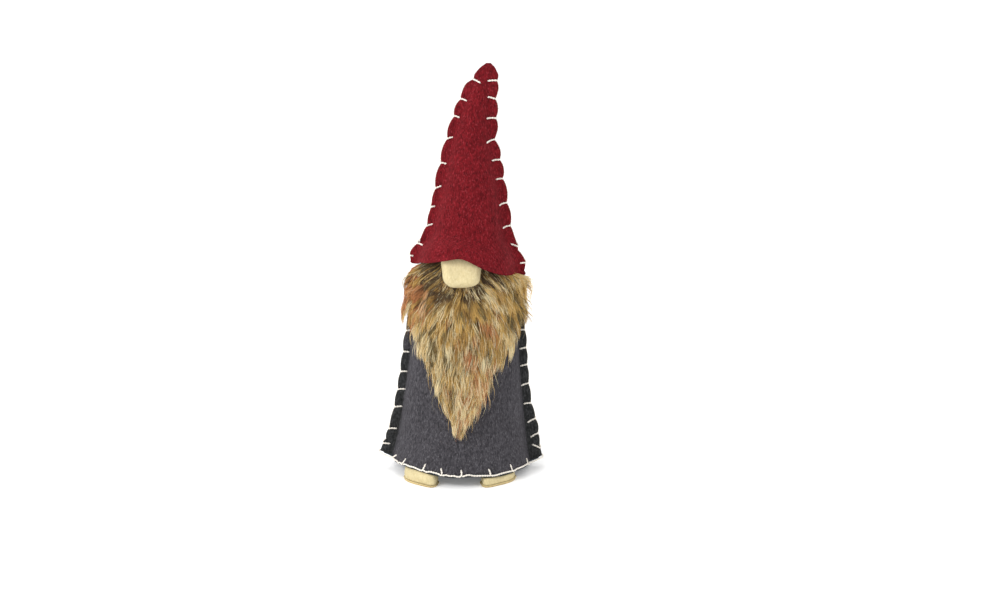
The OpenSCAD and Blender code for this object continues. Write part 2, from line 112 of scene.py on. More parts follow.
# What each felt or cloth was cut to, in metres: width, length and area
BEARD_TOP_CUT = (0.056, 0.034, 0.0013)
BEARD_CUT = (0.040, 0.054, 0.0015)

# --- Small mathematics --------------------------------------------------------------------


def clamp01(t):
    return np.clip(t, 0.0, 1.0)


def smooth(t):
    c = clamp01(t)
    return c * c * (3 - 2 * c)


def ease_in(v, start, over):
    """0 up to start, 1 from start + over on, and smooth between."""
    return smooth((v - start) / over)


def ease_out(v, start, over):
    return 1 - ease_in(v, start, over)


def mix(a, b, t):
    return a + (b - a) * t


def bell(d, width):
    return np.exp(-((d / width) ** 2))


def waves(points, length, seed, count=28):
    """A smooth random field of about -1 to 1 at points, with features of about that length."""
    rng = np.random.default_rng(seed)
    k = rng.normal(size=(count, 3))
    k *= (2 * np.pi / length * rng.uniform(0.6, 1.4, count) / np.linalg.norm(k, axis=1))[:, None]
    phase = rng.uniform(0, 2 * np.pi, count)
    return np.sin(points @ k.T + phase).sum(-1) * math.sqrt(2 / count) * 0.6


def unit(v):
    return v / np.maximum(np.linalg.norm(v, axis=-1, keepdims=True), 1e-9)


# --- Shape of the coat and the hat, as in the CAD source ------------------------------------


def centre_x(z):
    return LEAN * z


def flare(z):
    return clamp01(1 - (z - HEM_Z) / 94) ** 2.4


def dome(z):
    return 1 - clamp01((z - SHOULDER_Z) / (HEAD_TOP_Z - SHOULDER_Z)) ** 2


def coat_seam(z):
    low = COAT_SEAM_W + 2.5 * (1 - smooth(z / 45))
    return mix(low, 2.2, ease_in(z, 75, 25))


def coat_half(z):
    """Half width of the coat with its seams."""
    return (WAIST_HALF_W + (HEM_HALF_W - WAIST_HALF_W) * flare(z)) * dome(z) ** 0.85


def coat_a(z):
    return np.maximum(1.8, coat_half(z) - coat_seam(z))


def coat_b(z):
    return np.maximum(1.8, (WAIST_HALF_D + (HEM_HALF_D - WAIST_HALF_D) * flare(z)) * dome(z) ** 0.75)


def rim_under(x):
    sag = 2.0 * bell(x + 33.5, 6) + 1.5 * bell(x - 33.5, 4.5)
    up = 2.1 * bell(x - 7, 15) + 0.8 * ease_in(x, 37, 3)
    return RIM_Z + RIM_RISE * smooth((np.abs(x - 6) - 6) / 22) - RIM_TILT * x + up - sag


def hem_lift(x, z):
    return (rim_under(x) - RIM_Z) * ease_out(z, HEM_Z, 22)


def hat_centre_x(z):
    return centre_x(z) + TIP_BEND * clamp01((z - 150) / 47.6) ** 2


def hat_half(z):
    cone = HAT_HALF_W - HAT_TAPER * (z - 118)
    body = cone + BRIM_FLARE * smooth((118 - z) / 12)
    tip = (HAT_HALF_W - HAT_TAPER * 66) * np.sqrt(clamp01(1 - ((z - 184) / (197.6 - 184)) ** 2))
    return np.where(z < 184, body, tip)


def brim_lift(x, z, ahead):
    arch = 1.3 + BRIM_ARCH * bell(x - 1.2, 9) + 1.6 * bell(x + 10, 6) + 0.8 * bell(x - 13, 8)
    tilt = 0.105 * (x - hat_centre_x(BRIM_Z))
    dip = tilt + 1.3 * ease_in(x, 12, 14) + 1.3 * smooth((-x - 15) / 8)
    return (ahead * arch - dip) * ease_out(z, BRIM_Z, 22)


def brim_edge(x, y):
    """Height of the brim's edge at a place on it."""
    return BRIM_Z + brim_lift(x, BRIM_Z, smooth(-y / BRIM_TURN))


# --- Mesh building --------------------------------------------------------------------------


def add_object(name, data):
    obj = bpy.data.objects.new(name, data)
    bpy.context.scene.collection.objects.link(obj)
    return obj


def mesh_object(name, points, faces, *materials):
    """A smooth-shaded mesh in metres from points in mm. faces is a list, or an array of quads."""
    mesh = bpy.data.meshes.new(name)
    sizes = np.array([len(f) for f in faces], np.int32)
    if isinstance(faces, list):
        corners = np.concatenate([np.asarray(f, np.int32) for f in faces])
    else:
        corners = np.asarray(faces, np.int32).ravel()
    mesh.vertices.add(len(points))
    mesh.vertices.foreach_set("co", (np.asarray(points) * MM).astype(np.float32).ravel())
    mesh.loops.add(len(corners))
    mesh.loops.foreach_set("vertex_index", corners)
    mesh.polygons.add(len(sizes))
    mesh.polygons.foreach_set("loop_start", np.concatenate([[0], np.cumsum(sizes)[:-1]]))
    mesh.polygons.foreach_set("use_smooth", np.ones(len(sizes), bool))
    for material in materials:
        mesh.materials.append(material)
    mesh.update(calc_edges=True)
    mesh.validate()
    return add_object(name, mesh)


def paint(obj, indices):
    """Gives the first polygons of a mesh these material indices."""
    all_of = np.zeros(len(obj.data.polygons), np.int32)
    obj.data.polygons.foreach_get("material_index", all_of)
    all_of[:len(indices)] = indices
    obj.data.polygons.foreach_set("material_index", all_of)


def vectors(items, what="co"):
    """One vector for each vertex or polygon of a mesh."""
    values = np.empty(len(items) * 3)
    items.foreach_get(what, values)
    return values.reshape(-1, 3)


def place_points(obj, points):
    """Moves a mesh's vertices to points in mm, and shades it smooth."""
    obj.data.vertices.foreach_set("co", (points * MM).ravel())
    shade_smooth(obj.data)
    obj.data.update()


def shade_smooth(mesh):
    mesh.polygons.foreach_set("use_smooth", [True] * len(mesh.polygons))


def modify(obj, kind, **values):
    modifier = obj.modifiers.new(kind.lower(), kind)
    for key, value in values.items():
        setattr(modifier, key, value)
    return modifier


def settle(obj):
    """Applies every modifier of an object."""
    bpy.context.view_layer.update()
    made = bpy.data.meshes.new_from_object(obj.evaluated_get(bpy.context.evaluated_depsgraph_get()))
    obj.modifiers.clear()
    old = obj.data
    for material in list(old.materials)[len(made.materials):]:
        made.materials.append(material)
    obj.data = made
    bpy.data.meshes.remove(old)


def stand_for(obj, body, slot, *nodes):
    """The piece replaces the CAD nodes and rides on a body. slot is not used."""
    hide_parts(*nodes)
    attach(obj, body)


def tree_of(points):
    tree = KDTree(len(points))
    for k, p in enumerate(points):
        tree.insert(p, k)
    tree.balance()
    return tree


def grid_faces(rows, columns, start=0, flip=False):
    j, i = np.mgrid[0:rows - 1, 0:columns - 1]
    a = start + j * columns + i
    quads = np.stack([a, a + 1, a + columns + 1, a + columns], -1).reshape(-1, 4)
    return quads[:, ::-1] if flip else quads


def border_of(rows, columns):
    """The grid's border as indices, in order, and for each the point next to it inside."""
    at = lambda j, i: j * columns + i
    edge = [(at(0, i), at(1, i)) for i in range(columns - 1)]
    edge += [(at(j, columns - 1), at(j, columns - 2)) for j in range(rows - 1)]
    edge += [(at(rows - 1, i), at(rows - 2, i)) for i in range(columns - 1, 0, -1)]
    edge += [(at(j, 0), at(j, 1)) for j in range(rows - 1, 0, -1)]
    return np.array(edge)


def slab(name, outer, inner, materials, parts=(0, 0, 0), bulge=0.3, steps=3, flip=False):
    """A closed piece of cloth between two grids of points, its cut edge rounded outward. parts
    says which material the outer face, the inner face and the edge take."""
    rows, columns = outer.shape[:2]
    out_flat, in_flat = outer.reshape(-1, 3), inner.reshape(-1, 3)
    n = rows * columns
    border = border_of(rows, columns)
    away = unit(out_flat[border[:, 0]] - out_flat[border[:, 1]])
    loops, ring_points = [border[:, 0]], []
    for k in range(1, steps + 1):
        f = k / (steps + 1)
        ring = mix(out_flat[border[:, 0]], in_flat[border[:, 0]], f)
        ring_points.append(ring + away * bulge * math.sin(math.pi * f))
        loops.append(2 * n + (k - 1) * len(border) + np.arange(len(border)))
    loops.append(n + border[:, 0])
    sides = []
    for a, b in zip(loops[:-1], loops[1:]):
        sides.append(np.stack([a, b, np.roll(b, -1), np.roll(a, -1)], -1))
    face, back = grid_faces(rows, columns, 0, flip), grid_faces(rows, columns, n, not flip)
    sides = np.concatenate(sides)
    sides = sides[:, ::-1] if flip else sides
    obj = mesh_object(name, np.concatenate([out_flat, in_flat] + ring_points),
                      np.concatenate([face, back, sides]), *materials)
    paint(obj, np.repeat(np.array(parts, np.int32), [len(face), len(back), len(sides)]))
    return obj


def normals_of(grid):
    """Unit normals of a grid of points, to the side from which it reads left to right, up."""
    across = np.gradient(grid, axis=1)
    up = np.gradient(grid, axis=0)
    return unit(np.cross(across, up))


def smooth_columns(grid, weight, times):
    """Relaxes a grid along its rows where weight is above 0, which rounds off a crease."""
    for _ in range(times):
        mean = grid.copy()
        mean[:, 1:-1] = (grid[:, :-2] + grid[:, 2:]) / 2
        grid = grid + (mean - grid) * weight[None, :, None]
    return grid


def resample(points, spacing):
    """A smooth curve through the points, cut to equal steps."""
    p = np.asarray(points, float)
    padded = np.concatenate([[2 * p[0] - p[1]], p, [2 * p[-1] - p[-2]]])
    t = np.linspace(0, 1, 9)[:-1, None]
    parts = []
    for a, b, c, d in zip(padded[:-3], padded[1:-2], padded[2:-1], padded[3:]):
        parts.append(0.5 * (2 * b + (c - a) * t + (2 * a - 5 * b + 4 * c - d) * t ** 2
                            + (3 * b - a - 3 * c + d) * t ** 3))
    line = np.concatenate(parts + [p[-1:]])
    run = np.concatenate([[0], np.cumsum(np.linalg.norm(np.diff(line, axis=0), axis=1))])
    steps = np.linspace(0, run[-1], max(4, int(run[-1] / spacing)))
    return np.stack([np.interp(steps, run, line[:, k]) for k in range(3)], -1)


def frames_along(line):
    """Tangent and two side directions at each point of a line, without sudden turns."""
    tangent = unit(np.gradient(line, axis=0))
    side = np.zeros_like(line)
    first = np.cross(tangent[0], (0.3, 0.2, 0.9))
    side[0] = first / np.linalg.norm(first)
    for k in range(1, len(line)):
        s = side[k - 1] - tangent[k] * (side[k - 1] @ tangent[k])
        side[k] = s / max(np.linalg.norm(s), 1e-9)
    return tangent, side, np.cross(tangent, side)


def tube_faces(rings, sides, start=0):
    """Faces of a tube of rings of points, with a cap at each end."""
    j, i = np.mgrid[0:rings - 1, 0:sides]
    a, b = start + j * sides + i, start + j * sides + (i + 1) % sides
    last = start + (rings - 1) * sides
    faces = np.stack([a, b, b + sides, a + sides], -1).reshape(-1, 4).tolist()
    return faces + [list(range(start + sides - 1, start - 1, -1)), list(range(last, last + sides))]


def thread_tubes(paths, radius, twist=2.6, plies=2, spacing=0.3, sides=7):
    """Points and faces of a twisted thread along each path."""
    points, faces, start = [], [], 0
    turn = np.linspace(0, 2 * np.pi, sides, endpoint=False)
    for path in paths:
        line = resample(path, spacing)
        _, u, v = frames_along(line)
        run = np.concatenate([[0], np.cumsum(np.linalg.norm(np.diff(line, axis=0), axis=1))])
        ply_r = radius * 0.56
        for ply in range(plies):
            angle = 2 * np.pi * (run / twist + ply / plies)
            centre = line + (radius - ply_r) * (u * np.cos(angle)[:, None] + v * np.sin(angle)[:, None])
            ring = centre[:, None] + ply_r * (u[:, None] * np.cos(turn)[None, :, None]
                                              + v[:, None] * np.sin(turn)[None, :, None])
            points.append(ring.reshape(-1, 3))
            faces += tube_faces(len(line), sides, start)
            start += len(line) * sides
    return np.concatenate(points), faces


# --- Materials --------------------------------------------------------------------------------


class Nodes:
    """A short way to write a node material."""

    def __init__(self, name):
        self.material = bpy.data.materials.new(name)
        self.material.use_nodes = True
        self.tree = self.material.node_tree
        self.shader = self.tree.nodes["Principled BSDF"]
        self.place = self.add("ShaderNodeTexCoord").outputs["Object"]

    def add(self, kind, **values):
        node = self.tree.nodes.new(kind)
        for key, value in values.items():
            if key in node.inputs:
                self.put(node.inputs[key], value)
            else:
                setattr(node, key, value)
        return node

    def put(self, socket, value):
        if isinstance(value, bpy.types.NodeSocket):
            self.tree.links.new(value, socket)
        else:
            socket.default_value = value

    def noise(self, scale, detail=2.0, rough=0.55, stretch=(1, 1, 1), swirl=0.0):
        mapping = self.add("ShaderNodeMapping", Vector=self.place, Scale=stretch)
        return self.add("ShaderNodeTexNoise", Vector=mapping.outputs["Vector"], Scale=scale,
                        Detail=detail, Roughness=rough, Distortion=swirl).outputs["Fac"]

    def ramp(self, value, stops):
        node = self.add("ShaderNodeValToRGB")
        elements = node.color_ramp.elements
        while len(elements) < len(stops):
            elements.new(0.5)
        for element, (place, colour) in zip(elements, stops):
            element.position = place
            element.color = (*colour, 1)
        self.put(node.inputs["Fac"], value)
        return node.outputs["Color"]

    def greys(self, value, *stops):
        return self.ramp(value, [(place, (level,) * 3) for place, level in stops])

    def blend(self, a, b, amount, kind="MIX"):
        node = self.add("ShaderNodeMix", data_type="RGBA", blend_type=kind)
        self.put(node.inputs["Factor"], amount)
        for socket, value in ((node.inputs[6], a), (node.inputs[7], b)):
            self.put(socket, value if isinstance(value, bpy.types.NodeSocket) else (*value, 1))
        return node.outputs[2]

    def maths(self, kind, a, b):
        node = self.add("ShaderNodeMath", operation=kind)
        self.put(node.inputs[0], a)
        self.put(node.inputs[1], b)
        return node.outputs[0]

    def bump(self, height, strength, distance):
        node = self.add("ShaderNodeBump", Strength=strength, Distance=distance, Height=height)
        self.put(self.shader.inputs["Normal"], node.outputs["Normal"])

    def finish(self, colour, rough, sheen=0.0, sheen_tint=(1, 1, 1), specular=0.3):
        for socket, value in (("Base Color", colour), ("Roughness", rough), ("Sheen Weight", sheen),
                              ("Sheen Roughness", 0.6), ("Sheen Tint", (*sheen_tint, 1)),
                              ("Specular IOR Level", specular)):
            self.put(self.shader.inputs[socket], value)
        return self.material


def srgb(r, g, b):
    """A colour given in 0 to 255 display values."""
    lin = lambda c: c / 12.92 if c <= 0.04045 else ((c + 0.055) / 1.055) ** 2.4
    return tuple(lin(c / 255) for c in (r, g, b))


def felt(name, dark, base, light, fleck, sheen, depth=0.35, mottling=0.8):
    """Pressed wool: matted fibres, heathered flecks, and soft patches."""
    n = Nodes(name)
    dark, base, light, fleck = (srgb(*c) for c in (dark, base, light, fleck))
    fibres = n.noise(1300, 3.0, 0.7, (1, 1, 0.4), 0.4)
    mottle = n.noise(420, 2.0, 0.6, (1, 1, 0.6), 0.2)
    patches = n.noise(60, 2.0, 0.5)
    fine = n.noise(2600, 2.0, 0.6, (1, 1, 1), 0.3)
    flecks = n.greys(n.noise(1900, 1.0, 0.5, (1, 1, 0.4)), (0.58, 0), (0.68, 1))
    tone = n.greys(mottle, (0.32, 0.78), (0.52, 1), (0.72, 1.16))
    colour = n.ramp(fibres, [(0.30, dark), (0.5, base), (0.72, light)])
    colour = n.blend(colour, tone, mottling, "MULTIPLY")
    colour = n.blend(colour, fleck, n.maths("MULTIPLY", flecks, 0.4))
    colour = n.blend(colour, n.greys(patches, (0.35, 0.9), (0.65, 1.06)), mottling, "MULTIPLY")
    height = n.maths("ADD", n.maths("MULTIPLY", fibres, 0.6), n.maths("MULTIPLY", fine, 0.4))
    n.bump(n.maths("ADD", height, n.maths("MULTIPLY", mottle, 0.8)), depth, 0.0006)
    return n.finish(colour, n.greys(mottle, (0.3, 0.98), (0.7, 0.86)), sheen, light, 0.15)


def grained(name, dark, light, light_at, grain, bump, rough, look):
    n = Nodes(name)
    noise = n.noise(*grain)
    colour = n.ramp(noise, [(0.3, srgb(*dark)), (light_at, srgb(*light))])
    n.bump(noise, *bump)
    return n.finish(colour, n.greys(noise, (0.3, rough[0]), (0.7, rough[1])), *look)


def woven(name, dark, light, pitch_mm):
    """Plain cloth: two crossed sets of ribs."""
    n = Nodes(name)
    dark, light = srgb(*dark), srgb(*light)
    scale = 2 * math.pi / (pitch_mm * MM) / 20
    ribs = [n.add("ShaderNodeTexWave", wave_type="BANDS", bands_direction=direction, Vector=n.place,
                  Scale=scale, Distortion=0.6, Detail=1.0).outputs["Fac"] for direction in "XZ"]
    weave = n.maths("MAXIMUM", *ribs)
    spots = n.noise(400)
    colour = n.ramp(weave, [(0.2, dark), (0.8, light)])
    colour = n.blend(colour, n.greys(spots, (0.3, 0.75), (0.7, 1.1)), 0.8, "MULTIPLY")
    n.bump(weave, 0.5, 0.0004)
    return n.finish(colour, n.greys(spots, (0.3, 0.95), (0.7, 0.8)), 0.2, light, 0.2)


# Hair colours, from the darkest roots to rust, as stops along U of the fur's UV layer
FUR_COLOURS = [
    (0.00, srgb(32, 22, 11)), (0.12, srgb(90, 60, 25)), (0.24, srgb(124, 112, 72)),
    (0.38, srgb(180, 135, 64)), (0.54, srgb(224, 184, 104)), (0.70, srgb(250, 238, 196)),
    (0.85, srgb(206, 142, 84)), (1.00, srgb(172, 104, 58))]


def fur_material(name):
    """Colour by U, one column for each strand, and shade by V, from root to tip."""
    n = Nodes(name)
    uv = n.add("ShaderNodeUVMap", uv_map="OFBake")
    parts = n.add("ShaderNodeSeparateXYZ", Vector=uv.outputs["UV"])
    colour = n.ramp(parts.outputs["X"], FUR_COLOURS)
    shade = n.ramp(parts.outputs["Y"], [(0.0, (0.22,) * 3), (0.3, (0.72,) * 3),
                                        (0.7, (1.02,) * 3), (1.0, (1.22, 1.2, 1.14))])
    colour = n.blend(colour, shade, 1.0, "MULTIPLY")
    rough = n.greys(parts.outputs["Y"], (0.0, 0.75), (1.0, 0.5))
    return n.finish(colour, rough, 0.1, (1, 0.95, 0.85), 0.35)


COAT_FELT = felt("coat_felt", (34, 33, 36), (60, 58, 62), (82, 80, 84), (110, 108, 112), 0.2)
# Seam allowance of the coat: the coat's felt painted darker, a painted shade where the seam turns away
# from the light
SEAM_SHADE_FELT = felt("coat_edge_shade_felt", (26, 27, 27), (42, 43, 43), (64, 64, 66), (84, 84, 86), 0.15)
BASE_FELT = felt("base_felt", (30, 34, 35), (48, 53, 56), (72, 77, 82), (92, 96, 100), 0.2)
HAT_FELT = felt("hat_felt", (66, 7, 13), (99, 12, 20), (128, 24, 33), (160, 56, 64), 0.2)
SKIN_FELT = felt("skin_felt", (196, 180, 136), (206, 191, 148), (215, 201, 159), (222, 209, 170),
                 0.1, 0.18, 0.4)
# Cut edges of the nose and feet: a darker felt, a painted shade along the edges
SKIN_EDGE_SHADE = felt("skin_edge_shade", (150, 124, 76), (190, 164, 112), (214, 190, 140), (220, 200, 150),
                 0.1, 0.25)
THREAD = grained("white_thread", (212, 204, 192), (246, 240, 230), 0.6, (2400, 2.0, 0.6, (1, 1, 0.3)),
                 (0.3, 0.0002), (0.8, 0.6), (0.2, (1, 0.98, 0.95), 0.3))
FILLING = grained("filling", (196, 194, 190), (238, 237, 234), 0.6, (500, 4.0, 0.7, (1, 0.4, 1), 1.0),
                  (0.8, 0.0012), (0.98, 0.88), (0.3, (1, 1, 1), 0.1))
BOARD = grained("base_card", (128, 98, 66), (176, 142, 100), 0.6, (600, 4.0, 0.7, (1, 0.5, 1)),
                (0.3, 0.0003), (0.9, 0.7), (0.0, (1, 1, 1), 0.3))
PELLET = grained("pellet_plastic", (120, 124, 130), (160, 164, 170), 0.7, (700,),
                 (0.1, 0.0002), (0.5, 0.38), (0.0, (1, 1, 1), 0.5))
KNIT = woven("beard_knit", (70, 50, 32), (128, 98, 64), 1.1)
# The pile side of the beard's backing is painted dark brown, a painted shade for the depth of the fur
# seen through gaps between hairs
PILE_DEPTH_SHADE = woven("pile_depth_shade", (30, 22, 15), (66, 48, 30), 0.9)
POUCH = woven("pouch_cloth", (170, 158, 136), (214, 204, 184), 0.8)
FUR = fur_material("beard_pile")

# --- Camera, floor and light ------------------------------------------------------------------


CAMERA_AT = (0.0206, -0.66, 0.22726)
CAMERA_DOWN = math.radians(12.38)
FLOOR_HALF_W, FLOOR_FRONT, FLOOR_BACK = 3.0, -3.0, 2.0
WALL_CURVE, WALL_HEIGHT = 0.8, 2.5
FLOOR_GLOW, WORLD_LIGHT = 0.12, 1.05
# Name, place, size and power of each lamp. All of them face LIT_POINT
LAMPS = [("key", (-0.85, -0.7, 1.0), 0.5, 9), ("fill", (0.9, -0.8, 0.6), 0.8, 0.2),
         ("top", (-0.2, 0.5, 1.3), 0.7, 4)]
LIT_POINT = Vector((0, 0, 0.1))


def stage_and_camera():
    scene = bpy.context.scene
    camera = add_object("camera", bpy.data.cameras.new("camera"))
    camera.data.lens, camera.data.sensor_width = 50, 36
    camera.location = CAMERA_AT
    camera.rotation_euler = (math.pi / 2 - CAMERA_DOWN, 0, 0)
    scene.camera = camera

    # The floor runs back and curves up into a wall
    profile = [(FLOOR_FRONT, 0.0), (FLOOR_BACK, 0.0)]
    profile += [(FLOOR_BACK + WALL_CURVE * math.sin(a), WALL_CURVE * (1 - math.cos(a)))
                for a in np.linspace(0.15, math.pi / 2, 10)]
    profile.append((FLOOR_BACK + WALL_CURVE, WALL_HEIGHT))
    points = [(x, y, z) for y, z in profile for x in (-FLOOR_HALF_W, FLOOR_HALF_W)]
    faces = [(2 * k, 2 * k + 1, 2 * k + 3, 2 * k + 2) for k in range(len(profile) - 1)]
    n = Nodes("floor")
    material = n.finish(n.greys(n.noise(4, 1.0), (0.3, 0.90), (0.7, 0.91)), 0.9, specular=0.0)
    n.put(n.shader.inputs["Emission Color"], (1, 1, 1, 1))
    n.put(n.shader.inputs["Emission Strength"], FLOOR_GLOW)
    mesh = bpy.data.meshes.new("floor")
    mesh.from_pydata(points, [], faces)
    mesh.materials.append(material)
    shade_smooth(mesh)
    add_object("floor", mesh)

    world = bpy.data.worlds.new("studio")
    world.use_nodes = True
    background = world.node_tree.nodes["Background"].inputs
    background["Color"].default_value = (1, 1, 1, 1)
    background["Strength"].default_value = WORLD_LIGHT
    scene.world = world
    scene.view_settings.view_transform = "Standard"
    for name, place, size, power in LAMPS:
        light = bpy.data.lights.new(name, "AREA")
        light.shape, light.size, light.energy = "DISK", size, power
        lamp = add_object(name, light)
        lamp.location = place
        lamp.rotation_euler = (LIT_POINT - Vector(place)).to_track_quat("-Z", "Y").to_euler()


stage_and_camera()

# --- Felt tubes: the coat and the hat ------------------------------------------------------------

SEAM_COLUMNS = 12
ARC_COLUMNS = 56
# 0 on the seams and up to 1 at the middle of a panel's arc, for each column
ARC = np.zeros(2 * SEAM_COLUMNS + ARC_COLUMNS)
ARC[SEAM_COLUMNS:-SEAM_COLUMNS] = np.sin(np.linspace(0, np.pi, ARC_COLUMNS)) ** 0.5
SHORTEST_LEG = 1.5
# Height up to which the left seam allowance takes its painted shade; above it the light from the left
# reaches it
LEFT_SEAM_SHADE_TOP = 59
TIP_ROUND_Z = 190.5

# Blanket stitches on each side: height, length of the leg, and its rise for a mm inward
COAT_STITCHES = {
    -1: [(12.5, 2.8, -0.1), (20, 3.2, 0.0), (31, 3.2, 0.1), (40, 3.2, 0.05), (49, 2.6, 0.0),
         (59, 2.1, -0.1), (69.5, 2.2, 0.1), (79.5, 2.2, 0.0), (88, 2.0, 0.0)],
    1: [(10, 3.2, 0.5), (17.5, 2.9, -0.6), (25, 3.0, -0.55), (33, 2.8, -0.1), (43, 3.0, -0.35),
        (52.5, 2.5, -0.3), (61, 2.5, -0.25), (70, 2.2, -0.1), (79.5, 2.0, 0.0)]}
HAT_STITCHES = {
    -1: [(106.5, 1.1, -0.1), (112.5, 2.0, -0.25), (121, 2.1, 0.35), (130, 1.4, 0.2),
         (139, 2.2, 0.45), (151, 1.9, -0.2), (162.5, 2.0, 0.3), (173, 1.9, -0.35),
         (181, 2.3, -0.35), (190, 2.6, -0.5)],
    1: [(103, 2.0, 0.0), (111, 2.6, 0.45), (121, 3.0, -0.25), (132, 3.0, -0.3),
        (143.5, 2.6, -0.1), (152.5, 3.0, -0.1), (162, 2.8, -0.35), (172, 3.6, 0.0),
        (181, 3.0, 0.3), (189.5, 3.6, -0.05)]}
HEAD_STITCHES = [(97, 2.4, 0.0), (106, 2.4, 0.0), (115, 2.4, 0.0), (123, 2.2, 0.0)]


def stitch_phase(z, stitches):
    """0 at each stitch and 1 midway between two, at the height z."""
    heights = [stitch[0] for stitch in stitches]
    k = np.clip(np.searchsorted(heights, z) - 1, -1, len(heights) - 1)
    h = np.concatenate([[heights[0] - 10], heights, [heights[-1] + 10]])
    low, high = h[k + 1], h[np.minimum(k + 2, len(h) - 1)]
    return np.sin(np.pi * clamp01((z - low) / (high - low)))


def tube_panel(z, cx, a, b, half_left, half_right, inset):
    """Front half of a felt tube as a grid: seam, arc, seam. Points read from left to right."""
    f = np.linspace(0, 1, SEAM_COLUMNS, endpoint=False)
    phi = np.linspace(0, np.pi, ARC_COLUMNS)
    left = mix(-half_left[:, None], -(a - inset)[:, None], f[None])
    right = mix((a - inset)[:, None], half_right[:, None], 1 - f[::-1][None])
    arc = -(a - inset)[:, None] * np.cos(phi)[None]
    x = cx[:, None] + np.concatenate([left, arc, right], 1)
    flat = np.full_like(left, inset - FELT_T)
    y = inset - FELT_T - (b - FELT_T)[:, None] * np.sin(phi)[None]
    y = np.concatenate([flat, y, flat], 1)
    return np.stack([x, y, np.broadcast_to(z[:, None], x.shape)], -1)


def crease_weight(reach):
    """Weights over the columns that are 1 at the two creases and fade over reach columns."""
    column = np.arange(len(ARC))
    d = np.minimum(np.abs(column - SEAM_COLUMNS), np.abs(column - SEAM_COLUMNS - ARC_COLUMNS + 1))
    weight = clamp01(1 - d / reach)
    weight[0] = weight[-1] = 0
    return weight


def push_out(grid, depth, by_row):
    """Moves the arc of a panel outward by depth times a weight for each row."""
    return grid + normals_of(grid) * (depth * (by_row[:, None] * ARC[None]))[..., None]


def seam_detail(grid, cx, halves, stitches, dip, puff, fade, leg=3.0):
    """Presses the thread's legs into the seams of a grid, and puffs the felt between them."""
    x, z = grid[..., 0], grid[..., 2]
    move = np.zeros_like(x)
    for side in (-1, 1):
        depth_in = halves[side][:, None] - side * (x - cx[:, None])
        near = np.where(side * (x - cx[:, None]) > 0, 1.0, 0.0)
        for height, length, slope in stitches[side]:
            inside = ease_out(depth_in, length, 1.2)
            move += near * dip * bell(z - height - slope * depth_in, 0.75) * inside
        between = stitch_phase(z, stitches[side]) ** 2
        crown = smooth(depth_in / 1.2) * (1 - smooth((depth_in - leg) / fade))
        move -= near * puff * between * crown
    grid = grid.copy()
    grid[..., 1] += move
    return grid


def coat_grid(z, inset):
    cx, a, b = centre_x(z), coat_a(z), coat_b(z)
    halves = {}
    for side in (-1, 1):
        phase = stitch_phase(z, COAT_STITCHES[side])
        live = ease_in(z, 8, 4) * ease_out(z, 95, 5)
        halves[side] = a + coat_seam(z) + live * (0.9 * phase ** 0.7 - 0.65)
        halves[side] = halves[side] + 1.3 * bell(z - 21, 8) * (side > 0)
    grid = tube_panel(z, cx, a, b, halves[-1], halves[1], inset)
    grid = smooth_columns(grid, crease_weight(4.0), 3)
    grid = seam_detail(grid, cx, halves, COAT_STITCHES, 0.35 if inset == 0 else 0.1, 0.3, 1.5)
    bend = waves(grid, 30, 11) * 0.45 + waves(grid, 13, 12) * 0.12
    grid = push_out(grid, bend, ease_in(z, HEM_Z, 10))
    t = np.linspace(0, 1, len(z))
    grid[..., 2] += hem_lift(grid[..., 0], grid[..., 2]) - inset * (t ** 6)[:, None]
    return grid


def levels(low, high, rows, crowd):
    """Heights from low to high. crowd, 0 to 1, draws them together towards both ends."""
    t = np.linspace(0, 1, rows)
    return mix(low, high, mix(t, smooth(t), crowd))


def mirror_y(grid):
    return grid * np.array([1, -1, 1])


def make_coat():
    z = levels(HEM_Z, HEAD_TOP_Z - 1, 200, 0.3)
    outer, inner = coat_grid(z, 0.0), coat_grid(z, INNER_FACE)
    felts = (COAT_FELT, SEAM_SHADE_FELT)
    front = slab("coat_front", outer, inner, felts, (0, 0, 1))
    back = slab("coat_back", mirror_y(outer), mirror_y(inner), felts, (0, 0, 1), flip=True)
    # The seam allowance takes a painted shade, darker than the rest; on the left only up to a set
    # height, above which the light from the left reaches it
    rows, columns = outer.shape[:2]
    row, column = np.divmod(np.arange(2 * (rows - 1) * (columns - 1)), columns - 1)
    high = row % (rows - 1) > np.searchsorted(z, LEFT_SEAM_SHADE_TOP)
    seam = (column < SEAM_COLUMNS - 1) & ~high | (column > columns - SEAM_COLUMNS - 1)
    for obj, node in ((front, "coat_front_panel"), (back, "coat_back_panel")):
        paint(obj, seam.astype(np.int32))
        stand_for(obj, BODY, "coat_felt", node)
    return outer


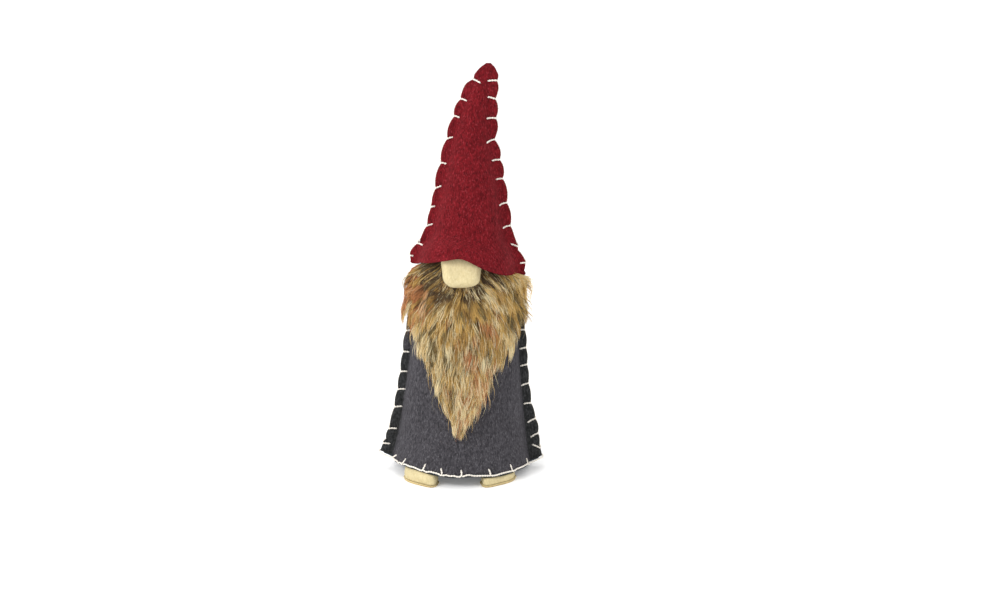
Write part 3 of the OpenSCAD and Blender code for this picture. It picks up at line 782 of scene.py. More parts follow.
def hat_grid(z, inset, ahead):
    nub = ease_in(z, 188, 3)
    cx, w = hat_centre_x(z) + 1.2 * nub, hat_half(z) - 0.9 * nub * clamp01(hat_half(z) - 1)
    a = np.minimum(np.maximum(1.8, w - HAT_SEAM_W), 0.9 * w)
    live = ease_in(z, 101, 3) * ease_out(z, 192, 2)
    pinches = {-1: 1.1 * bell(z - 188, 5) + bell(z - 130, 4), 1: 1.3 * bell(z - 162.5, 5)}
    halves = {}
    for side, corner_h, corner_w in ((-1, 2.4, 1.4), (1, 1.4, 0.4)):
        long = [stitch for stitch in HAT_STITCHES[side] if stitch[1] > SHORTEST_LEG]
        half = np.maximum(w, a + 0.3) + live * (1.5 * stitch_phase(z, long) ** 0.65 - 1.0)
        half = np.maximum(half - pinches[side], a + 0.2)
        # Rounded corners at the brim
        low = clamp01(1 - (z - BRIM_Z) / corner_h)
        halves[side] = half - corner_w * (1 - np.sqrt(np.maximum(0, 1 - low ** 2)))
    grid = tube_panel(z, cx, a, a, halves[-1], halves[1], inset)
    grid = smooth_columns(grid, crease_weight(12.0), 40)
    grid = seam_detail(grid, cx, halves, HAT_STITCHES, 0.4 if inset == 0 else 0.1, 0.5, 2.5)
    bend = waves(grid, 26, 21) * 0.4 + waves(grid, 11, 22) * 0.1
    grid = push_out(grid, bend, ease_in(z, BRIM_Z, 12) * ease_out(z, 176, 12))
    # The brim's edge turns out a little
    grid = push_out(grid, 1, 0.7 * ease_out(z, BRIM_Z, 4) ** 2)
    front = ahead * smooth(-grid[..., 1] / BRIM_TURN)
    grid[..., 2] += brim_lift(grid[..., 0], grid[..., 2], front) - inset * ((z > 190) * 0.5)[:, None]
    # The tip closes in a rounded end
    end = (z - TIP_ROUND_Z) / (HAT_TOP_Z + 0.6 - TIP_ROUND_Z)
    grid[..., 1] *= np.sqrt(clamp01(1 - end ** 2 * (z > TIP_ROUND_Z)))[:, None]
    return grid


def make_hat():
    z = np.concatenate([levels(BRIM_Z, 190, 170, 0.3), levels(190.4, HAT_TOP_Z + 0.5, 24, 0.0)])
    outers = []
    for name, node, ahead in (("hat_front", "hat_front_panel", 1), ("hat_back", "hat_back_panel", 0)):
        outer, inner = hat_grid(z, 0.0, ahead), hat_grid(z, INNER_FACE, ahead)
        outers.append(outer)
        if not ahead:
            outer, inner = mirror_y(outer), mirror_y(inner)
        obj = slab(name, outer, inner, (HAT_FELT,), flip=not ahead)
        stand_for(obj, HAT, "hat_felt", node)
    return outers


def surface_lookup(grid):
    """A function that gives the y of a front panel's outer face nearest to (x, z)."""
    flat = grid.reshape(-1, 3)
    tree = tree_of(flat * (1, 0, 1))
    return lambda x, z: flat[tree.find((x, 0, z))[1]][1]


def edge_lookup(grid, side):
    """A function that gives the x and z of the seam's edge at the height z."""
    column = grid[:, 0 if side < 0 else -1]
    return lambda z: np.array([np.interp(z, column[:, 2], column[:, 0]), 0, z])


def side_stitches(front, back, side, stitches, seed):
    """The path of one thread up a seam, with a leg on the front and one on the back for each
    stitch."""
    rng = np.random.default_rng(seed)
    front_y, back_y = surface_lookup(front), surface_lookup(back)
    edge = edge_lookup(front, side)
    path = []
    for k, (height, length, slope) in enumerate(stitches):
        at = edge(height)
        hole = at - np.array([side * length, 0, -slope * length])
        out = np.array([side * 0.45, 0, 0])
        middle = (at + hole) / 2

        def leg(surface, way):
            """From the edge along the felt and into the hole, on the front (way -1) or the back."""
            y = lambda p: way * -surface(p[0], p[2])
            return [(at[0] + side * 0.25, y(at) + way * 0.2, at[2]),
                    (middle[0], y(middle) + way * THREAD_R * 0.55, middle[2] + 0.1),
                    (hole[0], y(hole) + way * THREAD_R * 0.35, hole[2]),
                    (hole[0] - side * 0.25, y(hole) - way * 0.9, hole[2])]

        path += [at + out + (0, 0.25, -0.5), *leg(front_y, -1), *leg(back_y, 1)[::-1],
                 at + out + (0, 0.35, 0.5)]
        if k + 1 < len(stitches):
            for part in (0.25, 0.5, 0.75):
                z = mix(height, stitches[k + 1][0], part)
                path.append(edge(z) + (side * 0.1, 0.55 + rng.uniform(-0.1, 0.2), 0))
    return [np.array([np.asarray(p, float) for p in path])]


def thread_piece(name, paths, body, nodes, radius=THREAD_R):
    points, faces = thread_tubes(paths, radius)
    stand_for(mesh_object(name, points, faces, THREAD), body, "white_thread", *nodes)


def hem_outline(turn):
    """A point of the coat's hem at a turn from the front, and the way out of the coat there."""
    angle = math.radians(turn)
    hem_a = float(coat_a(HEM_Z))
    corner = smooth((abs(math.sin(angle)) - 0.985) / 0.015)
    x = mix(hem_a, HEM_HALF_W, corner) * math.sin(angle)
    y = -HEM_HALF_D * math.cos(angle)
    out = unit(np.array([math.sin(angle), -math.cos(angle), 0]))
    at_x = centre_x(HEM_Z) + x
    return np.array([at_x, y, rim_under(at_x) + BASE_T]), out


def make_threads(coat, hats):
    for side, name in ((-1, "left"), (1, "right")):
        paths = side_stitches(coat, coat, side, COAT_STITCHES[side], 31 + side)
        thread_piece(f"coat_stitching_{name}", paths, BODY, [f"coat_thread_{name}"])
        paths = side_stitches(hats[0], hats[1], side, HAT_STITCHES[side], 41 + side)
        thread_piece(f"hat_stitching_{name}", paths, HAT, [f"hat_thread_{name}"])
    heads = []
    for side in (-1, 1):
        heads += side_stitches(coat, coat, side, HEAD_STITCHES, 51 + side)
    thread_piece("head_stitching", heads, BODY, ["head_thread"])

    # The hem: a running thread under the coat's edge, with a leg up at each stitch
    rng = np.random.default_rng(61)
    front_y = surface_lookup(coat)
    turns = [-79, -55, -31, -14, 2, 26, 48, 76]
    turns += [180 + t for t in (-77, -53, -30, -9, 12, 34, 55, 77)]
    path = []
    for k, turn in enumerate(turns):
        p, out = hem_outline(turn)
        facing = 1 if abs(turn) < 90 else -1
        rise = rng.uniform(1.8, 2.3)
        top_x = p[0] + rng.uniform(-0.3, 0.3) + (1.3 if -90 < turn < -20 else -0.4)
        top_z = p[2] + rise
        top_y = facing * front_y(top_x, top_z)
        hole = np.array([top_x, top_y, top_z])
        path += [p + out * 0.7 + (-0.4 * facing, 0, -0.5),
                 mix(p, hole, 0.35) + out * 0.35, mix(p, hole, 0.75) + out * 0.25,
                 hole + out * 0.1, hole - out * 1.8, p - out * 2.4 + (0, 0, 0.8),
                 p - out * 1.2 + (0, 0, -0.4), p + out * 0.75 + (0.5 * facing, 0, -0.55)]
        nxt = turns[(k + 1) % len(turns)]
        if nxt < turn:
            nxt += 360
        by_corner = abs(math.sin(math.radians((turn + nxt) / 2))) > 0.9
        count = 9 if by_corner else 4
        for part in range(1, count + 1):
            q, q_out = hem_outline(mix(turn, nxt, part / (count + 1)))
            path.append(q + q_out * 0.75 + (0, 0, -0.35 + rng.uniform(-0.35, 0.35)))
    path.append(path[0])
    thread_piece("hem_stitching", [np.array(path)], BODY, ["hem_thread"])


# --- Base, board and weight -------------------------------------------------------------------

STAND = (27.0, 12.0, 22.0)
RING = (33.0, 24.0, 28.5)


def reach(x, y, half_axes):
    """Distance from the middle as a part of an ellipse that reaches further back than forward."""
    a, front, back = half_axes
    return np.sqrt((x / a) ** 2 + (y / np.where(y < 0, front, back)) ** 2)


def base_under(x, y):
    """Height of the base's under side: flat within STAND, and up to the hem's line at RING."""
    flat, ring = reach(x, y, STAND), reach(x, y, RING)
    part = (1 - 1 / np.maximum(flat, 1.0)) / np.maximum(
        1 / np.maximum(ring, 0.01) - 1 / np.maximum(flat, 1.0), 1e-6)
    part = np.where(ring >= 1, 1.0, np.where(flat <= 1, 0.0, part))
    return rim_under(x) * part


def base_thickness(x, y):
    """The rim thins out, and more so towards the side seams, where the coat's corners cover it."""
    side = smooth((np.abs(x - 1.4) - 24) / 9)
    return BASE_T - mix(0.8, 1.4, side) * smooth((reach(x, y, RING) - 0.9) / 0.2)


def room_under_base(x, y):
    return base_under(x, y) + BASE_T - base_thickness(x, y)


def make_base():
    """The oval base felt: flat where it stands, turned up to the coat's hem all round."""
    t = np.linspace(0, np.pi, 110)
    y = -HEM_HALF_D * np.cos(t)
    hem_a = float(coat_a(HEM_Z))
    d = np.maximum(0, np.abs(y) - FELT_T) / (HEM_HALF_D - FELT_T)
    half = hem_a * np.maximum(0.11, np.sqrt(np.maximum(0, 1 - d * d)))
    half = half + (HEM_HALF_W - hem_a) * clamp01(1 - np.abs(y) / 2.3) ** 1.3
    u = np.sin(np.linspace(-np.pi / 2, np.pi / 2, 90))
    x = centre_x(HEM_Z) + half[:, None] * u[None]
    y = np.broadcast_to(y[:, None], x.shape)
    under = base_under(x, y)
    ripple = waves(np.stack([x, y, under], -1), 14, 71) * 0.12 * smooth(reach(x, y, RING) - 0.6)
    top = np.stack([x, y, under + BASE_T + ripple], -1)
    low = np.stack([x, y, room_under_base(x, y) + ripple * 0.5 * (under > 0.3)], -1)
    obj = slab("base_felt", top, low, (BASE_FELT,), bulge=0.5, steps=4)
    stand_for(obj, BODY, "base_felt", "base_panel")


def blob(name, node, body, lumps, seed):
    """Loose filling in the room of a CAD solid: its shape, rounded off and lumpy."""
    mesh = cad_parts[node].data.copy()
    mesh.materials.clear()
    mesh.materials.append(FILLING)
    obj = add_object(name, mesh)
    low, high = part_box(node)
    modify(obj, "REMESH", mode="VOXEL", voxel_size=min(max(high - low) / 36, min(high - low) / 5))
    modify(obj, "SMOOTH", iterations=4)
    settle(obj)
    points = vectors(obj.data.vertices) / MM
    normal = vectors(obj.data.vertices, "normal")
    depth = waves(points, lumps * 5, seed) * lumps * 0.25
    depth = depth + waves(points, lumps * 2, seed + 1) * lumps * 0.12
    place_points(obj, points + normal * np.minimum(depth, 0)[:, None])
    stand_for(obj, body, "filling", node)


SIZE_UP, PAD_VOXEL, PAD_PRESSURE, PAD_FRAMES = 20, 0.4, 4.0, 20


def inflate(obj, most):
    """Pads a closed piece by cloth simulation. The piece is made SIZE_UP times larger for it, and
    no point moves by more than most, mm. Positions come back in mm."""
    obj.data.transform(Matrix.Scale(SIZE_UP, 4))
    modify(obj, "REMESH", mode="VOXEL", voxel_size=PAD_VOXEL * MM * SIZE_UP)
    settle(obj)
    before = after = vectors(obj.data.vertices)
    scene = bpy.context.scene
    cloth = modify(obj, "CLOTH")
    cloth.settings.use_pressure = True
    cloth.settings.uniform_pressure_force = PAD_PRESSURE
    cloth.settings.effector_weights.gravity = 0
    cloth.settings.quality = 5
    cloth.settings.tension_stiffness = cloth.settings.compression_stiffness = 15
    cloth.point_cache.frame_start, cloth.point_cache.frame_end = 1, PAD_FRAMES
    for step in range(1, PAD_FRAMES + 1):
        scene.frame_set(step)
    settle(obj)
    scene.frame_set(1)
    after = vectors(obj.data.vertices)
    move = after - before
    far = np.linalg.norm(move, axis=1, keepdims=True)
    move *= np.minimum(1, most * MM * SIZE_UP / np.maximum(far, 1e-9))
    return (before + move) / MM / SIZE_UP


def make_pouch():
    """The weight's flat cushion of woven cloth, with a seam round its middle."""
    a, b, h, at_y, at_z = 23.6, 16.6, 8.6, 3.0, BASE_T + 6.0
    turn = np.linspace(0, 2 * np.pi, 96, endpoint=False)
    gathers = np.sin(turn * 22)
    rings = []
    for v in np.linspace(-1, 1, 33):
        lift = np.sign(v) * (1 - (1 - abs(v)) ** 1.7)
        spread = mix(0.04, 1.0, (1 - abs(lift)) ** 0.34) if abs(v) < 1 else 0.04
        wrinkle = 1 + 0.012 * gathers * (1 - abs(v)) ** 2
        x, y = a * spread * np.cos(turn) * wrinkle, b * spread * np.sin(turn) * wrinkle
        z = h / 2 * np.sign(v) * (1 - spread ** 3) ** 0.6 + 0.105 * gathers * (1 - abs(v)) ** 4
        rings.append(np.stack([x, at_y + y, at_z + z], -1))
    faces = tube_faces(len(rings), len(turn))
    obj = mesh_object("weight_bag", np.concatenate(rings), faces, POUCH)
    modify(obj, "SOLIDIFY", thickness=0.5 * MM, offset=-1)
    settle(obj)
    stand_for(obj, BODY, "pouch_cloth", "weight_pouch")


def soft_pad(name, front, back, flip, most, hold, is_shaded_edge):
    """A small felt pad, blown up a little by cloth simulation. hold keeps its points in their room, and
    the last argument picks, by the middles of its faces, which are cut edge; those take a darker felt,
    a painted shade."""
    obj = slab(name, front, back, (SKIN_FELT, SKIN_EDGE_SHADE), bulge=0.1, flip=flip)
    place_points(obj, hold(inflate(obj, most)))
    modify(obj, "SMOOTH", iterations=2)
    modify(obj, "SUBSURF", levels=1, render_levels=1)
    settle(obj)
    shade_smooth(obj.data)
    paint(obj, is_shaded_edge(vectors(obj.data.polygons, "center") / MM).astype(np.int32))
    return obj


# --- Feet and nose ------------------------------------------------------------------------------

TOE = np.array([[-26.0, -23.6], [-11.5, -33.6]])
HEEL = np.array([[-27.5, -14.0], [-9.5, -22.5]])
FOOT_T = 0.8
SOLE_ROUND = 0.12


def foot_grid(side, n=44):
    """Plan of a foot over a square of s and t, its corners rounded, and the height above it."""
    u, v = np.meshgrid(np.linspace(-1, 1, n), np.linspace(-1, 1, n))
    # A square drawn to rounded corners
    pull = 1 - 0.13 * (u * v) ** 4
    s, t = (1 + u * pull) / 2, (1 + v * pull) / 2
    toe = mix(TOE[0], TOE[1], s[..., None])
    heel = mix(HEEL[0], HEEL[1], s[..., None])
    back = mix(0.16 * np.abs(2 * s - 1) ** 4, 1, t)
    plan = mix(toe, heel, back[..., None]) * np.array([-side, 1])
    x, y = plan[..., 0], plan[..., 1]
    top = np.minimum(room_under_base(x, y), rim_under(x) + 0.8 - 0.9 * (1 - t) ** 6) - 0.2
    return plan, top, 1 - np.maximum(np.abs(u), np.abs(v))


def make_feet():
    def hold(points):
        x, y, z = points.T
        room = np.minimum(room_under_base(x, y), rim_under(x) + 0.7) - 0.2
        return np.stack([x, y, np.clip(z, FOOT_T + 0.02, np.maximum(room, 2 * FOOT_T))], -1)

    for side, word in ((-1, "left"), (1, "right")):
        plan, top, edge = foot_grid(side)
        at = lambda height: np.concatenate([plan, np.broadcast_to(height, edge.shape)[..., None]], -1)
        wobble = waves(at(top), 6, 81 + side) * 0.1
        round_off = np.sqrt(clamp01(1 - (1 - clamp01(edge / 0.16)) ** 2))
        worn = SOLE_ROUND * (1 - round_off)
        # The sole's cut edge and the upper's lowest faces take the darker edge felt, a painted shade
        sole = slab(f"{word}_sole", at(FOOT_T - worn), at(0.02 + worn), (SKIN_FELT, SKIN_EDGE_SHADE),
                    (0, 0, 1), bulge=0.25, flip=side > 0)
        crown = mix(FOOT_T + 0.05, np.maximum(2 * FOOT_T, top), round_off) + wobble * round_off - 0.1
        upper = soft_pad(f"{word}_upper", at(np.maximum(crown, FOOT_T + 0.45)), at(FOOT_T + 0.02),
                         side > 0, 0.5, hold, lambda c: c[:, 2] < FOOT_T + 0.25)
        for obj, kind in ((sole, "sole"), (upper, "upper")):
            stand_for(obj, BODY, "skin_felt", f"{word}_foot_{kind}")
        blob(f"{word}_foot_filling", f"{word}_foot_stuffing", BODY, 0.3, 90 + side)


def make_nose():
    n = 72
    v, u = np.meshgrid(np.linspace(-1, 1, n), np.linspace(-1, 1, n), indexing="ij")
    grow = np.sin(u * np.pi / 2) * 0.35 + u * 0.65
    rise = np.sin(v * np.pi / 2) * 0.35 + v * 0.65
    t = (rise + 1) / 2
    pull = 1 - 0.10 * (grow * rise) ** 4
    plan_x = NOSE_HALF_W * mix(0.91, 1.14, t) * grow * (1 - 0.11 * rise ** 4) * pull
    plan_z = (NOSE_H / 2 + 0.2) * rise * (1 - 0.08 * grow ** 4) * pull
    flat = np.stack([plan_x, plan_x * 0, plan_z], -1)
    crown = (1 - np.abs(grow) ** 3.5) ** 0.5 * (1 - np.abs(rise) ** 3.5) ** 0.5
    uneven = 1 + 0.02 * waves(flat, 7, 96)
    depth = mix(0.7, NOSE_D - 0.5, crown) + waves(flat, 9, 95) * 0.16 * crown
    front = np.stack([plan_x * uneven, -depth, plan_z * uneven], -1)
    back = front * np.array([1, 0, 1])

    def hold(points):
        x, y, z = points.T
        return np.stack([x, np.clip(y, -NOSE_D - 0.1, 0), z], -1)

    # Faces near the back, the nose's cut edge, take the darker edge felt, a painted shade
    obj = soft_pad("nose", front, back, False, 0.6, hold, lambda c: c[:, 1] > -0.45)
    turn = Matrix.Rotation(-NOSE_TILT, 4, "X")
    obj.data.transform(Matrix.Translation(Vector(NOSE_AT) * MM) @ turn)
    stand_for(obj, BODY, "skin_felt", "nose_cover")
    blob("nose_filling", "nose_stuffing", BODY, 0.4, 97)


# --- Beard ----------------------------------------------------------------------------------------


def beard_x(z):
    return 0.5 + 0.055 * (z - 24)


def off_coat(phi, z, d):
    """Points off the coat's front by d, at an angle from its left seam."""
    return np.stack([centre_x(z) - (coat_a(z) + d) * np.cos(phi),
                     -FELT_T - (coat_b(z) - FELT_T + d) * np.sin(phi), z + 0 * phi], -1)


def angle_at(x, z):
    return np.arccos(np.clip((centre_x(z) - x) / coat_a(z), -0.97, 0.97))


def cheek_part(x):
    return smooth((np.abs(x - beard_x(BEND_Z)) - 12) / 8)


def full_pile(x, z):
    """Height of the pile where nothing holds it in. The cheeks stand out most under the brim."""
    out = CHEEK_PILE + 2.4 * ease_in(z, 84, 14) + 2.4 * ease_in(z, 97, 5) - 0.8 * smooth(x / 8)
    return PILE + cheek_part(x) * out


def top_pile(x, z, out):
    """Room for the pile on the fixed part, which the brim holds in and the nose presses. x is on
    the coat, and out is where the hair would be."""
    under_nose = (1 - smooth((np.abs(x - NOSE_AT[0]) - NOSE_HALF_W) / 3)) * ease_in(z, 90, 3)
    brim = brim_edge(out[:, 0], out[:, 1]) - 0.4
    held = BRIM_PILE + 2.8 * cheek_part(x)
    room = mix(full_pile(x, z), held, ease_in(z, brim, 1.0))
    return mix(room, PRESSED_PILE, under_nose)


def top_low_z(x):
    d = np.abs(x - beard_x(BEND_Z))
    middle = BEND_Z + 0.3 - BEND_ARCH * (d / BEND_HALF_W) ** 2
    side = BEND_Z + 0.3 - BEND_ARCH - CHEEK_DROP * (d - BEND_HALF_W - 1) / 5
    return np.maximum(np.where(d < BEND_HALF_W, middle, side), BEND_Z - CHEEK_DROP)


def flap_half(z, tip):
    wide = mix(FLAP_HALF_W, BEND_HALF_W, (z - FLAP_WIDEST_Z) / (BEND_Z - FLAP_WIDEST_Z))
    return np.where(z > FLAP_WIDEST_Z, wide, mix(1, FLAP_HALF_W, (z - tip) / (FLAP_WIDEST_Z - tip)))


def beard_half(z):
    """Half width of the whole beard at a height, which is that of the bend above it."""
    return flap_half(np.minimum(z, BEND_Z), BEARD_TIP_Z)


def make_backing():
    s, t = np.meshgrid(np.linspace(0, 1, 90), np.linspace(0, 1, 40))
    top_phi = mix(CHEEK_ANGLE, np.pi - CHEEK_ANGLE, s)
    low = top_low_z(off_coat(top_phi, np.full_like(s, BEND_Z), 0)[..., 0])
    top_z = mix(low, BEARD_TOP_Z, t)
    s, t = np.meshgrid(np.linspace(-1, 1, 60), np.linspace(0, 1, 80))
    tip = BEARD_TIP_Z + CLOTH_SHORT
    level = mix(tip, BEND_Z, t)
    flap_z = level - BEND_ARCH * s * s * ease_in(t, 0.6, 0.4)
    flap_phi = angle_at(beard_x(level) + s * flap_half(level, tip), flap_z)
    for name, node, body, phi, z, lift, cut in (
            ("beard_cloth_top", "beard_top_backing", BODY, top_phi, top_z, CLOTH_LIFT, BEARD_TOP_CUT),
            ("beard_cloth", "beard_backing", FLAP, flap_phi, flap_z, FLAP_LIFT, BEARD_CUT)):
        soft = waves(off_coat(phi, z, 0), 8, 101) * 0.08
        outer = off_coat(phi, z, lift + BACKING_T - 0.1 + np.minimum(soft, 0.05))
        inner = off_coat(phi, z, lift + 0 * phi)
        # The pile side takes the dark painted shade; the back and the edges take the knit
        obj = slab(name, outer, inner, (PILE_DEPTH_SHADE, KNIT), (0, 1, 1), bulge=0.15)
        stand_for(obj, body, "beard_knit", node)


def flow(x, z):
    """Sideways lie of the fur for each millimetre downward."""
    d = (x - NOSE_AT[0]) / 10
    out = 0.7 * d * np.exp(0.5 - 0.5 * d * d) * mix(0.15, 1.0, ease_in(z, 68, 26))
    inward = 0.33 * ease_out(z, 56, 24) + 0.45 * ease_out(z, 30, 16)
    return out - (x - beard_x(z)) / np.maximum(beard_half(z), 6) * inward


STRAND_STEPS = 6
HAIRS_IN_LOCK = 26
HAIR_LENGTH = 13.5
HAIR_R = (0.09, 0.14)
# Shares of the hairs that leave their lock, and that are paler or darker than it
LOOSE_SHARE, PALE_SHARE, DARK_SHARE = 0.06, 0.24, 0.1
PALE_TONES, DARK_TONES = (0.6, 0.72), (0.02, 0.24)
# Angles round the coat at which the cheeks' fur and the middle's meet, with an overlap
CHEEK_END, MIDDLE_START = 0.95, 0.9


def strand_paths(phi, z, length, turn, lift, root, wave, give=0.0):
    """Paths of hairs as (hair, step, 3). They lie along the flow, rise off the cloth and droop.
    wave is how far, how often and from where each hair sways, and give lets it stand out more."""
    points, a_phi, a_z = [], phi.copy(), z.copy()
    cheek = cheek_part(off_coat(phi, z, 0)[:, 0])
    below = ease_out(z, 102.5, 1.5)
    high, steep = cheek * ease_in(z, 88, 8), cheek * ease_in(z, 97, 5)
    power = 0.8 - 0.3 * high - (0.28 - 0.1 * (1 - below)) * steep
    step = length / STRAND_STEPS
    for k in range(STRAND_STEPS + 1):
        t = k / STRAND_STEPS
        rise = np.sin(min(1.0, 1.35 * t) * np.pi / 2) ** power - 0.22 * max(0.0, t - 0.6) / 0.4
        x = off_coat(a_phi, a_z, 0)[:, 0]
        held = top_pile(x, a_z, off_coat(a_phi, a_z, root + lift * rise))
        room = np.where(a_z > 80, held, PILE + 1.5)
        d = root + np.minimum(lift * rise, room - 0.15 + give)
        points.append(off_coat(a_phi, a_z, d))
        lean = (flow(x, a_z) + turn) * (1 - mix(0.25, 0.7, cheek) * t)
        lean = lean + wave[0] * np.cos(2 * np.pi * (wave[1] * t + wave[2]))
        down = 1 / np.sqrt(1 + lean ** 2) * (1 - (0.6 * high + 0.28 * steep) * (1 - t) * below)
        a, b = np.maximum(coat_a(a_z), 4) + d, np.maximum(coat_b(a_z), 4) + d
        pace = np.sqrt((a * np.sin(a_phi)) ** 2 + (b * np.cos(a_phi)) ** 2)
        a_phi = a_phi + lean * down * step / pace
        a_z = a_z - down * step
    return np.stack(points, 1)


def tuck(paths):
    """Keeps what is above the brim's edge inside the hat."""
    x, y, z = np.moveaxis(paths, -1, 0)
    edge = brim_edge(x, y)
    cx = hat_centre_x(z)
    away = np.maximum(np.hypot(x - cx, y), 1)
    room = hat_half(z) - HAT_SEAM_W - FELT_T - 0.4 - 1.3 * smooth((np.abs(x - cx) - 14) / 6)
    part = mix(1, np.minimum(1, room / away), smooth((z - edge + 0.4) / 0.6))
    return np.stack([cx + (x - cx) * part, y * part, z], -1)


def strand_mesh(name, paths, tone, radius):
    """One mesh of tapered three-sided hairs, with a UV layer of tone and place along the hair."""
    count, rings = paths.shape[0], paths.shape[1] - 1
    tangent = unit(np.gradient(paths, axis=1))
    side = unit(np.cross(tangent, np.array([0.15, -1.0, 0.1])))
    other = np.cross(tangent, side)
    t = np.linspace(0, 1, rings + 1)
    thick = radius[:, None] * (0.55 + 0.45 * np.sin(np.pi * np.minimum(1, 0.25 + t)))[None]
    thick = thick * (1 - t ** 3)[None]
    turns = np.array([0.5, 0.5 + 2 / 3, 0.5 + 4 / 3]) * np.pi
    ring = paths[:, :-1, None] + thick[:, :-1, None, None] * (
        side[:, :-1, None] * np.cos(turns)[None, None, :, None]
        + other[:, :-1, None] * np.sin(turns)[None, None, :, None])
    points = np.concatenate([ring.reshape(count, rings * 3, 3), paths[:, -1:]], 1)
    per = rings * 3 + 1
    tris = []
    for k in range(rings - 1):
        for i in range(3):
            a, b = 3 * k + i, 3 * k + (i + 1) % 3
            tris += [(a, b, b + 3), (a, b + 3, a + 3)]
    for i in range(3):
        tris.append((3 * (rings - 1) + i, 3 * (rings - 1) + (i + 1) % 3, per - 1))
    tris = np.array(tris)
    faces = (np.arange(count) * per)[:, None, None] + tris[None]
    obj = mesh_object(name, points.reshape(-1, 3), faces.reshape(-1, 3), FUR)
    along = np.concatenate([np.repeat(t[:-1], 3), [1.0]])
    uv = np.empty((count, len(tris), 3, 2))
    uv[..., 0] = np.clip(tone, 0.01, 0.99)[:, None, None]
    uv[..., 1] = mix(0.02, 0.98, along[tris])[None]
    layer = obj.data.uv_layers.new(name="OFBake")
    layer.data.foreach_set("uv", uv.ravel())
    return obj


def fur_tone(x, z, rng):
    """Colour of a lock at its root, as a place on the fur's colour scale."""
    at = np.stack([x, 0 * x, z], -1)
    tone = 0.49 + 0.10 * waves(at, 8, 111) + rng.normal(0, 0.10, len(x))
    # The cheeks by the brim are painted lighter, a painted lift against the hat's shadow on them, more
    # on the right
    tone = tone + smooth((np.abs(x - 3) - 10) / 6) * ease_in(z, 84, 6) * np.where(x > 0, 0.08, 0.06)
    tone = np.minimum(tone + 0.13 * ease_out(z, 25, 45), 0.73)
    rust = bell(x - 8, 5) * ease_in(z, 26, 10) * ease_out(z, 80, 10) * 0.5
    rust = rust + bell(x + 16, 9) * bell(z - 96, 13) * 0.7 + bell(x + 5, 3) * bell(z - 50, 9) * 0.5
    olive = bell(x + 6, 6) * bell(z - 66, 16) * 0.6 + bell(x - 17, 7) * bell(z - 80, 14) * 0.3
    edge = smooth((np.abs(x - beard_x(z)) / np.maximum(beard_half(z), 3) - 0.55) / 0.4) * (z < 82)
    draw = rng.uniform(size=len(x))
    tone = np.where(draw < rust, rng.uniform(0.80, 0.97, len(x)), tone)
    tone = np.where((draw > 0.35) & (draw < 0.35 + olive), rng.uniform(0.18, 0.30, len(x)), tone)
    tone = np.where((draw > 1 - 0.55 * edge), rng.uniform(0.60, 0.72, len(x)), tone)
    near = np.sqrt(((x - NOSE_AT[0]) / (NOSE_HALF_W + 1.5)) ** 2 + ((z - NOSE_AT[2]) / 9.5) ** 2)
    dark = ease_out(near, 0.85, 0.4)
    return np.where(draw < 0.65 * dark, rng.uniform(0.03, 0.16, len(x)), tone)


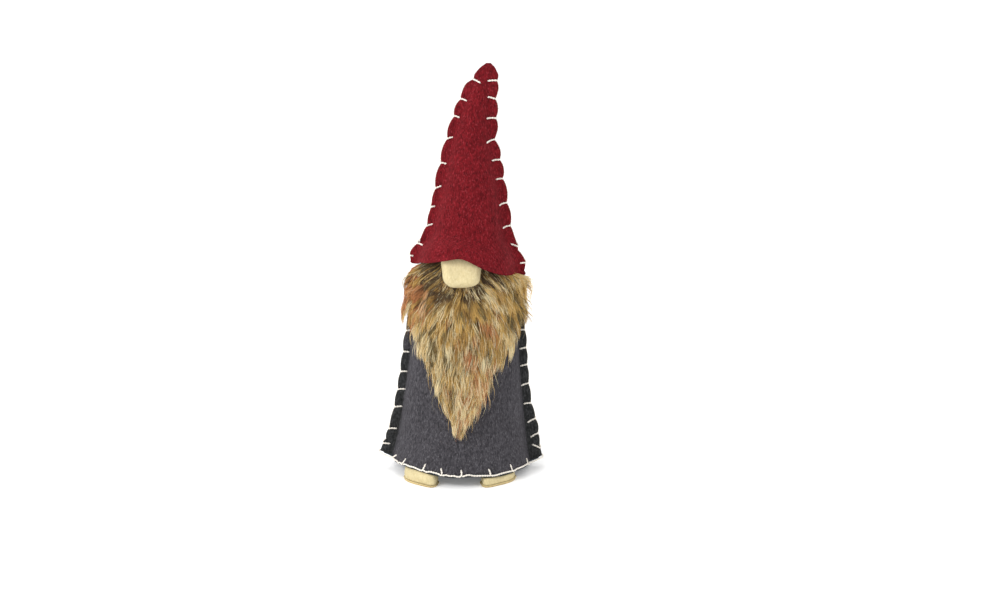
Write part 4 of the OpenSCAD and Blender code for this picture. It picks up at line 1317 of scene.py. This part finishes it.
def fur(name, zone, count, seed, root, body, node):
    """Fills one zone of the beard with hair. zone(rng, n) gives n roots as angle and height. body
    is one body for the hair to ride on, or the start and end of a blend from the coat's body to the
    flap's, which is not done: the hair then keeps its place and rides on no body."""
    rng = np.random.default_rng(seed)
    c_phi, c_z = zone(rng, count // HAIRS_IN_LOCK)
    clumps = len(c_phi)
    phi, z = zone(rng, count)
    n = len(phi)
    tree = tree_of(off_coat(c_phi, c_z, root))
    own = np.array([tree.find(p)[1] for p in off_coat(phi, z, root)])

    def measures(p, zz, spread):
        """Length of hairs and how far they lift off, by their place in the beard."""
        x = off_coat(p, zz, 0)[:, 0]
        cheeks = cheek_part(x)
        by_nose = bell((x - NOSE_AT[0]) / (NOSE_HALF_W + 4), 0.9) * bell((zz - 95) / 9, 1.0)
        by_tip = ease_out(zz, 30, 22)
        side = np.abs(x - beard_x(zz)) / np.maximum(beard_half(zz), 4)
        edge = ease_in(side, 0.5, 0.5) * (zz < 80)
        length = HAIR_LENGTH - 5.0 * by_nose - 4.4 * by_tip - 3.0 * edge
        length = length * rng.uniform(1 - spread, 1 + spread, len(p))
        cheek = cheeks * ease_in(zz, 80, 10)
        tall = mix(PILE, full_pile(x, zz), ease_in(zz, 78, 4)) + 0.6 * cheek
        length = length - 2.5 * cheek * ease_out(zz, 92, 8)
        length = length + 3.0 * cheeks * ease_in(zz, 102, 2)
        part = mix(rng.uniform(0.45, 1.05, len(p)), 1.0, 0.6 * cheeks * ease_in(zz, 97, 5))
        return x, length, mix(1.0, 0.6, by_tip) * mix(1, 0.8, edge) * tall * part

    c_x, c_len, c_lift = measures(c_phi, c_z, 0.2)
    c_turn = rng.normal(0, 0.13, clumps)
    c_wave = [rng.uniform(low, high, clumps) for low, high in ((0.05, 0.3), (0.5, 1.1), (0, 1))]
    locks = strand_paths(c_phi, c_z, c_len, c_turn, c_lift, root, c_wave)
    x, length, lift = measures(phi, z, 0.25)
    lift = mix(lift, c_lift[own], 0.6)
    # A few loose hairs leave their lock, more of them at the right cheek
    wispy = ease_in(x, 16, 6) * (z > 84)
    loose = rng.uniform(size=n) < LOOSE_SHARE + 0.08 * wispy
    length = np.where(loose, length * 1.15, length)
    lift = lift * (1 + (0.25 + 0.3 * wispy) * loose)
    turn = c_turn[own] + rng.normal(0, 0.12, n) + loose * rng.normal(0, 0.25, n)
    wave = [part[own] for part in c_wave]
    paths = strand_paths(phi, z, length, turn, lift, root, wave, loose * (0.4 + 2.4 * wispy))
    t = np.linspace(0, 1, STRAND_STEPS + 1)
    pull = np.where(loose, 0.1, rng.uniform(0.45, 0.85, n))[:, None] * (t ** 1.2)[None]
    paths = tuck(paths + (locks[own] - paths) * pull[..., None])
    tone = fur_tone(c_x, c_z, rng)[own] + rng.normal(0, 0.04, n)
    draw = rng.uniform(size=n)
    pale = PALE_SHARE * (1 - 0.9 * ease_in(z, 70, 20))
    tone = np.where(draw < pale, rng.uniform(*PALE_TONES, n), tone)
    tone = np.where(draw > 1 - DARK_SHARE, rng.uniform(*DARK_TONES, n), tone)
    obj = strand_mesh(name, paths, tone, rng.uniform(*HAIR_R, n))
    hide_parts(node)
    if isinstance(body, str):
        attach(obj, body)
    else:
        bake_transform(obj)


def make_fur():
    def cheek(side):
        def zone(rng, n):
            phi = rng.uniform(CHEEK_ANGLE, CHEEK_END, n)
            phi = phi if side < 0 else np.pi - phi
            x = off_coat(phi, np.full(n, BEND_Z), 0)[:, 0]
            low = 80.5 + 1.35 * np.maximum(0, np.abs(x - beard_x(BEND_Z)) - 17) + 1.0 * side
            level = mix(low, BEARD_TOP_Z - 1, rng.uniform(size=n))
            # Much of what shows comes from under the brim
            under_hat = rng.uniform(102.8, BEARD_TOP_Z - 0.7, n)
            return phi, np.where(rng.uniform(size=n) < 0.5, under_hat, level)
        return zone

    def middle(rng, n):
        phi = rng.uniform(MIDDLE_START, np.pi - MIDDLE_START, n)
        low = top_low_z(off_coat(phi, np.full(n, BEND_Z), 0)[:, 0])
        return phi, mix(low + 0.3, BEARD_TOP_Z - 1, rng.uniform(size=n) ** 1.25)

    def flap(low, high):
        def zone(rng, n):
            # Heights are drawn in proportion to the width there
            pick = rng.uniform(low, high, n * 3)
            keep = rng.uniform(0, FLAP_HALF_W, n * 3) < flap_half(pick, BEARD_TIP_Z)
            level = pick[keep][:n]
            s = rng.uniform(-1, 1, len(level)) * mix(0.86, 1.0, ease_in(level, 60, 14))
            s = s * np.where(s > 0, mix(0.86, 1, ease_in(level, 52, 20)), 1)
            x = beard_x(level) + s * flap_half(level, BEARD_TIP_Z)
            zz = level - BEND_ARCH * s * s * ease_in(level, 62, 24)
            return angle_at(x, zz), zz
        return zone

    # Start and end of a blend from the coat's body to the flap's, in metres: above and below the bend,
    # in front of the coat. fur() does not use them
    across = ((0.004, -0.0201, 0.0885), (0.004, -0.0201, 0.0775))
    top_root = CLOTH_LIFT + BACKING_T + 0.05
    flap_root = FLAP_LIFT + BACKING_T + 0.05
    fur("fur_cheek_left", cheek(-1), 4800, 120, top_root, BODY, "beard_top_fur")
    fur("fur_cheek_right", cheek(1), 4800, 121, top_root, BODY, "beard_top_fur")
    fur("fur_middle", middle, 6000, 122, top_root, across, "beard_top_fur")
    fur("fur_flap_upper", flap(58, BEND_Z), 6200, 123, flap_root, across, "beard_fur")
    fur("fur_flap_lower", flap(BEARD_TIP_Z + 7.5, 59), 5400, 124, flap_root, FLAP, "beard_fur")


def make_beard_thread():
    paths = []
    turn = np.linspace(0, 2 * np.pi, 13)
    for phi in np.radians(np.arange(30, 151, 20)):
        middle = off_coat(np.array(phi), np.array(BEARD_TOP_Z), 0.4)
        out = unit(np.array([-math.cos(phi), -math.sin(phi), 0]))
        paths.append(middle + 1.45 * (np.cos(turn)[:, None] * out + np.sin(turn)[:, None] * (0, 0, 1)))
    thread_piece("beard_thread_loops", paths, BODY, ["beard_thread"], 0.5)


coat_outer = make_coat()
hat_outers = make_hat()
make_threads(coat_outer, hat_outers)
make_base()
make_pouch()
make_feet()
make_nose()
make_backing()
make_fur()
make_beard_thread()
blob("body_filling", "body_stuffing", BODY, 2.0, 131)
blob("hat_filling", "hat_stuffing", HAT, 1.0, 133)

for node, material in (("base_board", BOARD), ("weight_pellets", PELLET)):
    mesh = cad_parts[node].data
    mesh.materials.clear()
    mesh.materials.append(material)
